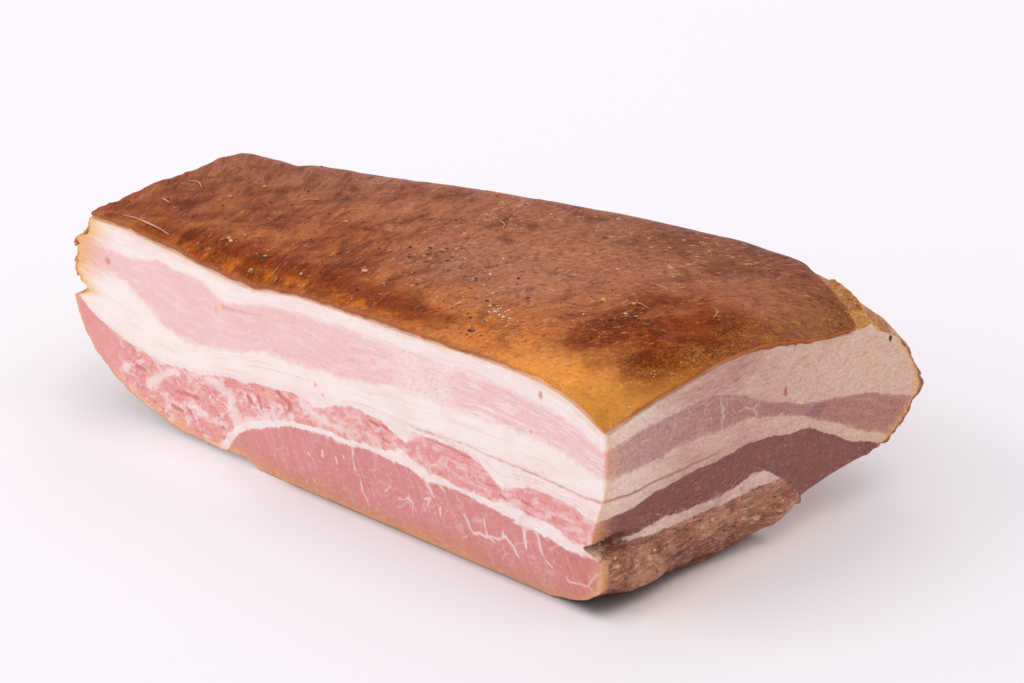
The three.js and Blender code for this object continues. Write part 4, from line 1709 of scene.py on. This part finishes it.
@dataclass
class Rind:
    """The smoked skin: a fine sheet over the top with furrows, thickened inward."""

    form: BellyForm = field(default_factory=BellyForm)
    steps: tuple[int, int] = (260, 134)
    span: tuple[float, float] = (205.0, 118.0)
    columns: Array = field(init=False)
    flap: Array = field(init=False)

    def __post_init__(self) -> None:
        """Find the share of each column at which the line of the flap cuts it."""
        self.columns, steps = np.linspace(0.0, 1.0, self.steps[0] + 1), np.linspace(0.6, 1.0, 81)
        many = np.repeat(self.columns, len(steps)), np.tile(steps, len(self.columns))
        x, y, _ = self.form.place(*many, np.ones(len(many[0]))).T
        past = self.form.beyond_flap(x, y) + 0.8 * noise(x / 3.0, y / 3.0, 6.5)
        past = np.minimum(past, x - self.form.flap_corner[0]).reshape(len(self.columns), len(steps))
        first, rows = np.argmax(past > 0.0, axis=1), np.arange(len(self.columns))
        before, after = past[rows, np.maximum(first - 1, 0)], past[rows, first]
        self.flap = steps[first] - (steps[1] - steps[0]) * after / np.maximum(after - before, 1e-6)
        self.flap[past.max(axis=1) <= 0.0] = 1.0

    def back_share(self, u: Array) -> Array:
        """Share of the top, front to back, at which the rind ends.

        Args:
            u: Share of the length from the torn end.

        Returns:
            The share.
        """
        x = (u - 1.0) * self.form.front_length
        ragged = 0.985 + 0.012 * noise(x / 5.0, 2.5, 0.5) + 0.006 * noise(x / 1.7, 4.5, 0.5)
        ragged = ragged - 0.055 * np.exp(-((u * self.form.front_length / 7.0) ** 1.5))
        return np.minimum(ragged, np.interp(u, self.columns, self.flap))

    def surface(self, u: Array, t: Array) -> Array:
        """Place points of the sheet on the outside of the rind.

        Args:
            u: Share of the length from the torn end.
            t: Share from the long cut to the rind's back edge.

        Returns:
            One row for each point, in millimetres.
        """
        start = 0.6 + 0.9 * noise(t * 16.0, 0.5, 3.5) + 0.5 * noise(t * 47.0, 2.5, 3.5)
        along = lerp(np.maximum(start / self.form.front_length, 0.0), 1.0, u)
        places = self.form.place(along, t * self.back_share(along), np.ones_like(u))
        x, y, z = places.T
        turned = x - (0.39 + 0.00467 * x) * y
        warp = 2.6 * noise(x / 14.0, y / 14.0, 9.5) + 0.9 * noise(x / 5.0, y / 6.0, 2.5)
        folds = noise((turned + warp) / 4.4, (y + 2.0 * warp) / 15.0, 0.5)
        creases = noise((turned - warp) / 2.1, (y + warp) / 9.0, 6.5)
        dimples = noise(x / 2.6, y / 3.0, 5.5)
        dents = noise(x / 16.0, y / 18.0, 7.5)
        smooth = 1.0 - 0.8 * np.exp(-np.hypot(x / 30.0, y / 26.0) ** 2)
        lip = 0.45 * np.exp(-y / 1.6) - 0.55 * np.exp(-y / 0.5)
        edge = np.exp(-y / 1.4)
        y = y + edge * (0.35 * noise(x / 5.0, 0.5, 2.5) + 0.25 * noise(x / 1.9, 3.5, 2.5))
        z = z - edge * (0.35 + 0.55 * noise(x / 7.0, 5.5, 2.5) + 0.35 * noise(x / 2.3, 8.5, 2.5))
        brink = np.exp((u - 1.0) * self.form.front_length / 1.5)
        frayed = 0.45 * noise(y / 4.0, 7.5, 2.5) + 0.3 * noise(y / 1.6, 9.5, 2.5)
        x = x + brink * (frayed - 0.2 + 0.9 * smoothstep(y, 34.0, 54.0))
        z = z - brink * (0.35 + 0.4 * noise(y / 6.0, 5.5, 8.5))
        z = z + smooth * (0.24 * folds + 0.12 * creases + 0.06 * dimples) + 0.35 * dents + lip
        tuck = np.exp((t - 1.0) * self.form.torn_end_width / 1.8) * (1.0 - smoothstep(x, -34.0, -24.0))
        z = z - 1.5 * tuck
        return np.stack([x, y, z], axis=1)

    def at(self, x: float, y: float) -> Array:
        """Find the point of the rind over a place in plan.

        Args:
            x: Place along.
            y: Place across.

        Returns:
            The point, in millimetres.
        """
        length, width = self.span
        u, t = np.array([1.0 + x / length]), np.array([y / width])
        for _ in range(5):
            point = self.surface(np.clip(u, 0.0, 1.0), np.clip(t, 0.0, 1.0))[0]
            u = u + (x - point[0]) / length
            t = t + (y - point[1]) / width
        return point

    def build(self, corner: Array) -> bpy.types.Object:
        """Model the rind.

        Args:
            corner: Near bottom corner, in metres.

        Returns:
            The piece.
        """
        bpy.ops.mesh.primitive_grid_add(
            x_subdivisions=self.steps[0], y_subdivisions=self.steps[1], size=1.0, location=(0.5, 0.5, 0.0)
        )
        sheet = bpy.context.object
        sheet.name = "belly_rind"
        bpy.ops.object.transform_apply(location=True, rotation=True, scale=True)
        shares = np.clip(read_rows(sheet.data.vertices, "co"), 0.0, 1.0)
        move_vertices(sheet.data, self.surface(shares[:, 0], shares[:, 1]) * MM + corner)
        thick = sheet.modifiers.new("thickness", "SOLIDIFY")
        thick.thickness = self.form.rind_thickness * MM
        thick.offset = -1.0
        thick.use_rim = True
        outer = len(sheet.data.vertices)
        only(sheet)
        bpy.ops.object.modifier_apply(modifier=thick.name)
        keep_field(sheet.data, Field.RIM, np.arange(len(sheet.data.vertices)) >= outer)
        bpy.ops.object.shade_smooth_by_angle(angle=math.radians(50.0))
        return sheet


@dataclass(frozen=True)
class Patch:
    """A patch of scatter on the rind: where it lies in plan, how far it spreads and how many bits it has."""

    x: float
    y: float
    spread_x: float
    spread_y: float
    count: int


@dataclass
class Scatter:
    """Bits of one kind that lie on one face, joined in one mesh."""

    name: str
    patches: tuple[Patch, ...]
    size: tuple[float, float]
    finish: SpeckFinish
    seed: int
    flatness: float = 0.5
    sink: float = 0.45
    ground: Ground = Ground.RIND

    def rest(self, rind: Rind, first: float, second: float) -> Array | None:
        """Find the point that a bit lies on.

        Args:
            rind: The rind, with the chunk's form.
            first: Place along on the rind, or across on an end.
            second: Place across on the rind, or height on an end.

        Returns:
            The point in millimetres, or nothing past the face's edges.
        """
        form, y, z = rind.form, np.array([first]), np.array([second])
        if self.ground is Ground.RIND:
            inside = -195.0 < first < 4.0 and 1.2 < second < 100.0
            return rind.at(first, second) if inside else None
        if self.ground is Ground.LOBE:
            inside = 0.2 < first < 66.0 and 4.0 + 0.1 * first < second < form.ledge(y)[0] + 1.2
            return np.array([form.cut_end(y, z)[0], first, second]) if inside else None
        inside = 0.3 < first < 80.0 and 34.0 < second < 57.0
        return np.array([form.torn_end(y, z)[0], first, second]) if inside else None

    def build(self, rind: Rind, corner: Array) -> bpy.types.Object:
        """Model the bits.

        Args:
            rind: The rind, with the chunk's form.
            corner: Near bottom corner, in metres.

        Returns:
            The piece.
        """
        bpy.ops.mesh.primitive_ico_sphere_add(subdivisions=2, radius=1.0)
        grain = bpy.context.object
        grain.name = self.name
        ball = read_rows(grain.data.vertices, "co")
        faces = np.array([p.vertices[:] for p in grain.data.polygons])
        rng = np.random.default_rng(self.seed)
        rows, sides = [], []
        for patch in self.patches:
            for _ in range(patch.count):
                first = patch.x + patch.spread_x * rng.normal()
                second = patch.y + patch.spread_y * rng.normal()
                point = self.rest(rind, first, second)
                if point is not None:
                    sides.append(faces + len(ball) * len(rows))
                    rows.append(self.bit(ball, rng) + point)
        mesh = grain.data
        mesh.clear_geometry()
        mesh.from_pydata((np.concatenate(rows) * MM + corner).tolist(), [], np.concatenate(sides).tolist())
        mesh.update()
        only(grain)
        bpy.ops.object.shade_smooth_by_angle(angle=math.radians(30.0))
        return grain

    def bit(self, ball: Array, rng: np.random.Generator) -> Array:
        """Shape one bit.

        Args:
            ball: Vertices of a unit ball.
            rng: The seeded random draws.

        Returns:
            Its vertices, in millimetres, about the point it lies on.
        """
        radius = 0.5 * lerp(self.size[0], self.size[1], rng.random() ** 1.7)
        shift = rng.uniform(-50.0, 50.0, 3)
        bumpy = ball * (1.0 + 0.38 * noise(*(ball * 1.3 + shift).T))[:, None]
        shape = bumpy * np.array([1.0 + 0.5 * rng.random(), 0.75 + 0.3 * rng.random(), self.flatness])
        turn = rng.uniform(0.0, math.tau)
        cos, sin = math.cos(turn), math.sin(turn)
        spun = shape @ np.array([[cos, sin, 0.0], [-sin, cos, 0.0], [0.0, 0.0, 1.0]])
        local = spun * radius + np.array([0.0, 0.0, radius * (self.flatness - self.sink)])
        if self.ground is Ground.RIND:
            return local
        return local[:, [2, 0, 1]] * np.array([1.0 if self.ground is Ground.LOBE else -1.0, 1.0, 1.0])


@dataclass(frozen=True)
class Strand:
    """One loose fibre: its two ends in millimetres, its side bend and its radius."""

    start: tuple[float, float, float]
    end: tuple[float, float, float]
    bend: float
    radius: float


@dataclass
class Strands:
    """Loose fibres on the rind and on the lobe, joined in one mesh."""

    finish: SpeckFinish
    seed: int = 5
    lobe_count: int = 7
    on_rind: tuple[Strand, ...] = (
        Strand((-183.0, 4.2, 0.35), (-162.0, 3.2, 0.35), 0.8, 0.3),
        Strand((-186.0, 21.2, 0.3), (-181.0, 19.6, 0.3), 0.5, 0.28),
        Strand((-192.0, 36.9, 0.3), (-184.6, 35.6, 0.3), 0.9, 0.26),
        Strand((-34.0, 60.0, 0.2), (-27.0, 56.0, 0.2), 2.2, 0.13),
        Strand((-30.0, 44.0, 0.2), (-24.0, 47.0, 0.2), 1.8, 0.13),
        Strand((-98.0, 70.0, 0.2), (-92.0, 66.0, 0.2), 1.2, 0.15),
        Strand((-152.0, 44.0, 0.2), (-149.0, 49.0, 0.2), 0.8, 0.16),
        Strand((-12.0, 58.0, 0.2), (-8.0, 53.0, 0.2), 1.5, 0.12),
    )

    def build(self, rind: Rind, corner: Array) -> bpy.types.Object:
        """Model the fibres as one curve with a round section, then turn it into a mesh.

        Args:
            rind: The rind, with the chunk's form.
            corner: Near bottom corner, in metres.

        Returns:
            The piece.
        """
        shares = np.linspace(0.0, 1.0, 9)
        runs = []
        for strand in self.on_rind + tuple(self.lobe_strands(rind.form)):
            start, end = np.array(strand.start), np.array(strand.end)
            path = lerp(start, end, shares[:, None])
            length = max(np.linalg.norm(end - start), 1e-6)
            side = np.array([start[1] - end[1], end[0] - start[0], 0.0]) / length
            wave = np.sin(np.pi * shares) + 0.35 * np.sin(5.0 * shares + start[1])
            path = path + side * (strand.bend * wave)[:, None]
            if strand in self.on_rind:
                path[:, 2] += [rind.at(x, max(y, 0.8))[2] for x, y in path[:, :2]]
            taper = strand.radius * (0.35 + 0.65 * np.sin(np.pi * np.clip(shares, 0.08, 0.92)))
            runs.append((path, taper))
        return tubes("loose_fibres", runs, corner)

    def lobe_strands(self, form: BellyForm) -> list[Strand]:
        """Draw short fibres along the torn lobe of the cut end.

        Args:
            form: The chunk's form.

        Returns:
            The fibres.
        """
        rng = np.random.default_rng(self.seed)
        made = []
        for _ in range(self.lobe_count):
            y, length = rng.uniform(10.0, 56.0), rng.uniform(2.0, 6.0)
            ledge = form.ledge(np.array([y]))[0]
            z = rng.uniform(6.0 + 0.09 * y, ledge - 0.4)
            ends = np.array([y, y + length]), np.array([z, z + rng.uniform(-0.8, 1.2)])
            x = form.cut_end(*ends) + 0.25
            rows = np.column_stack([x, *ends])
            bend, radius = rng.uniform(-0.5, 0.5), rng.uniform(0.08, 0.16)
            made.append(Strand(tuple(rows[0]), tuple(rows[1]), bend, radius))
        return made


@dataclass
class Studio:
    """Pale floor, soft light and the camera at the photo's angle."""

    camera_place: tuple[float, float, float] = (349.7, -421.1, 306.8)
    azimuth: float = 42.0
    elevation: float = 23.0
    lens: float = 36.0 * 2500.0 / 1024.0
    sky: Colour = (0.97, 0.945, 0.975)
    sky_strength: float = 0.74
    floor_tone: Colour = (0.7, 0.678, 0.708)
    bounce_tone: Colour = (0.79, 0.695, 0.655)
    contact_shadow_tone: Colour = (0.12, 0.09, 0.08)
    glow_tone: Colour = (1.0, 0.975, 1.0)
    floor_glow: float = 0.185
    # Extra floor glow under the bow: painted light that lifts the shade there
    bow_glow: float = 0.09

    def build(self, corner: Array) -> None:
        """Set the stage.

        Args:
            corner: Near bottom corner, in metres.
        """
        bpy.ops.mesh.primitive_plane_add(size=8.0, location=(0.0, 0.0, -0.0002))
        floor = bpy.context.object
        floor.name = "floor"
        made, g, shader = new_material("floor")
        x, y, _ = g.axes(g.place(corner))
        # Painted bounce: the floor under and beside the meat is tinted warm, as if lit by light from the meat
        painted_bounce = g.times(g.band(x, -150.0, 18.0, 12.0), g.band(y, 6.0, 92.0, 12.0))
        # Painted contact shadow: a dark band on the floor along the meat's foot
        painted_light_near = g.times(g.band(x, -112.0, 0.0, 4.0), g.band(y, -0.5, 62.0, 2.5))
        tone = g.blend(painted_bounce, self.floor_tone, self.bounce_tone)
        tone = g.blend(g.times(painted_light_near, 0.6), tone, self.contact_shadow_tone)
        # Painted contact shadow: the floor's glow is cut off under the meat. Painted light: the glow is
        # raised under the lifted bow at the torn end
        under = g.times(g.band(x, -118.0, 5.0, 6.0), g.band(y, -0.5, 62.0, 3.0))
        bow = g.times(g.band(x, -170.0, -118.0, 22.0), g.band(y, -22.0, 10.0, 9.0))
        glow = g.line(bow, self.bow_glow, self.floor_glow)
        inputs = {
            "Base Color": tone,
            "Roughness": 0.8,
            "Emission Color": self.glow_tone,
            "Emission Strength": g.times(glow, g.math("SUBTRACT", 1.0, under)),
        }
        g.feed(shader, inputs)
        floor.data.materials.append(made)

        world = bpy.data.worlds.new("studio")
        world.use_nodes = True
        sky = world.node_tree.nodes["Background"]
        sky.inputs["Color"].default_value = (*self.sky, 1.0)
        sky.inputs["Strength"].default_value = self.sky_strength
        bpy.context.scene.world = world

        self.lamp("key", (-1.1, -1.15, 1.05), 1.4, 13.8, (1.0, 0.98, 0.96))
        self.lamp("back", (-0.55, 0.85, 1.05), 0.8, 2.7, (1.0, 0.99, 1.0))
        self.lamp("top", (0.45, 0.3, 1.5), 0.9, 3.6, (1.0, 0.99, 1.0))

        bpy.ops.object.camera_add(
            location=tuple(np.array(self.camera_place) * MM + corner),
            rotation=(math.radians(90.0 - self.elevation), 0.0, math.radians(self.azimuth)),
        )
        camera = bpy.context.object
        camera.data.sensor_width = 36.0
        camera.data.lens = self.lens
        camera.data.clip_start = 0.01
        bpy.context.scene.camera = camera
        bpy.context.scene.view_settings.view_transform = "Standard"

    def lamp(self, name: str, place: Sequence[float], size: float, power: float, tone: Colour) -> None:
        """Hang one soft lamp that faces the object.

        Args:
            name: Its name.
            place: Where it hangs, in metres.
            size: Side of its panel.
            power: Its power.
            tone: Its colour.
        """
        bpy.ops.object.light_add(type="AREA", location=place)
        lamp = bpy.context.object
        lamp.name = name
        lamp.data.size = size
        lamp.data.energy = power
        lamp.data.color = tone
        away = np.array(place) - np.array([0.0, 0.0, 0.03])
        flat = math.hypot(away[0], away[1])
        lamp.rotation_euler = (math.atan2(flat, away[2]), 0.0, math.atan2(away[0], -away[1]))


PEPPER = Scatter(
    name="pepper_grains",
    patches=(
        Patch(-149.0, 4.0, 0.6, 0.4, 3), Patch(-147.5, 9.5, 2.2, 1.4, 14), Patch(-130.5, 9.0, 1.6, 1.2, 9),
        Patch(-192.7, 12.5, 1.2, 1.6, 6), Patch(-109.0, 15.0, 3.0, 3.0, 4),
        Patch(-91.0, 30.0, 7.0, 5.0, 10), Patch(-66.0, 30.0, 17.0, 10.0, 26),
        Patch(-52.0, 22.0, 10.0, 7.0, 14), Patch(-52.1, 8.2, 2.2, 1.0, 7), Patch(-23.4, 40.1, 1.6, 1.2, 8),
        Patch(-173.0, 40.0, 10.0, 15.0, 18), Patch(-120.0, 45.0, 38.0, 25.0, 34),
        Patch(-25.0, 45.0, 14.0, 16.0, 9),
    ),
    size=(0.3, 1.2),
    finish=SpeckFinish("pepper", (0.014, 0.008, 0.006), (0.11, 0.05, 0.024), 0.85),
    seed=11,
)

CRUMBS = Scatter(
    name="spice_crumbs",
    patches=(
        Patch(-128.2, 2.9, 0.7, 0.5, 4), Patch(-131.0, 10.5, 1.0, 0.8, 3), Patch(-146.0, 11.0, 1.6, 1.0, 6),
        Patch(-55.8, 52.5, 0.2, 0.2, 1), Patch(-47.5, 66.3, 0.3, 0.3, 2), Patch(-36.6, 38.5, 0.4, 0.4, 2),
        Patch(-23.4, 40.1, 1.4, 1.0, 4), Patch(-93.0, 41.0, 0.7, 0.7, 2),
        Patch(-75.0, 30.0, 28.0, 16.0, 14), Patch(-150.0, 30.0, 20.0, 18.0, 9),
        Patch(3.0, 2.6, 0.6, 0.6, 2),
    ),
    size=(0.4, 1.5),
    finish=SpeckFinish("spice", (0.4, 0.16, 0.05), (0.7, 0.4, 0.18), 0.6),
    seed=23,
    flatness=0.6,
    sink=0.2,
)

SALT = Scatter(
    name="salt_flecks",
    patches=(
        Patch(-56.0, 22.0, 3.0, 1.6, 13), Patch(-49.0, 19.0, 2.2, 1.2, 9),
        Patch(-70.0, 30.0, 14.0, 9.0, 14), Patch(0.0, 12.0, 3.0, 8.0, 5),
    ),
    size=(0.3, 0.85),
    finish=SpeckFinish("salt", (0.7, 0.58, 0.5), (0.88, 0.8, 0.74), 0.35),
    seed=37,
)


LOBE_CRUMBS = Scatter(
    name="lobe_crumbs",
    patches=(
        Patch(2.4, 15.8, 1.6, 0.7, 18), Patch(6.5, 16.0, 2.4, 0.7, 10), Patch(28.0, 11.0, 18.0, 4.0, 16),
    ),
    size=(0.4, 1.2),
    finish=SpeckFinish("lobe_crumb", (0.46, 0.22, 0.13), (0.76, 0.52, 0.38), 0.6),
    seed=41,
    flatness=0.6,
    sink=0.35,
    ground=Ground.LOBE,
)

TORN_CRUMBS = Scatter(
    name="torn_crumbs",
    patches=(
        Patch(1.4, 40.0, 1.0, 2.5, 26), Patch(1.4, 47.0, 1.0, 3.5, 50), Patch(2.4, 54.0, 1.8, 2.0, 26),
        Patch(20.0, 44.0, 16.0, 6.0, 60),
    ),
    size=(0.5, 1.8),
    finish=SpeckFinish("torn_crumb", (0.55, 0.2, 0.045), (0.88, 0.52, 0.2), 0.5, 2.0),
    seed=53,
    flatness=0.7,
    sink=0.3,
    ground=Ground.TORN,
)

FIBRES = Strands(SpeckFinish("fibre", (0.48, 0.21, 0.1), (0.72, 0.42, 0.26), 0.6, 5.0))


def near_corner(form: BellyForm) -> Array:
    """Find the near bottom corner of the two cuts in the row frame."""
    low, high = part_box(NODE)
    return np.array([0.5 * (low.x + high.x) + form.corner_place * MM, low.y, low.z])


def main() -> None:
    """Build the pieces in order, dress them and set the stage."""
    logging.basicConfig(level=logging.INFO, format="%(name)s: %(message)s")
    form = BellyForm()
    corner = near_corner(form)

    flesh = MeatFinish().material(corner)
    meat = dress(MeatBlock(form).build(corner), [flesh])
    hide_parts(NODE)
    log.info("%s: %d faces", meat.name, len(meat.data.polygons))

    rind = Rind(form)
    skin = dress(rind.build(corner), [RindFinish().material(corner)])
    log.info("%s: %d faces", skin.name, len(skin.data.polygons))

    for scatter in (PEPPER, CRUMBS, SALT, LOBE_CRUMBS, TORN_CRUMBS, FIBRES):
        bits = dress(scatter.build(rind, corner), [scatter.finish.material(corner)])
        log.info("%s: %d faces", bits.name, len(bits.data.polygons))

    Studio().build(corner)


if __name__ == "__main__":
    main()
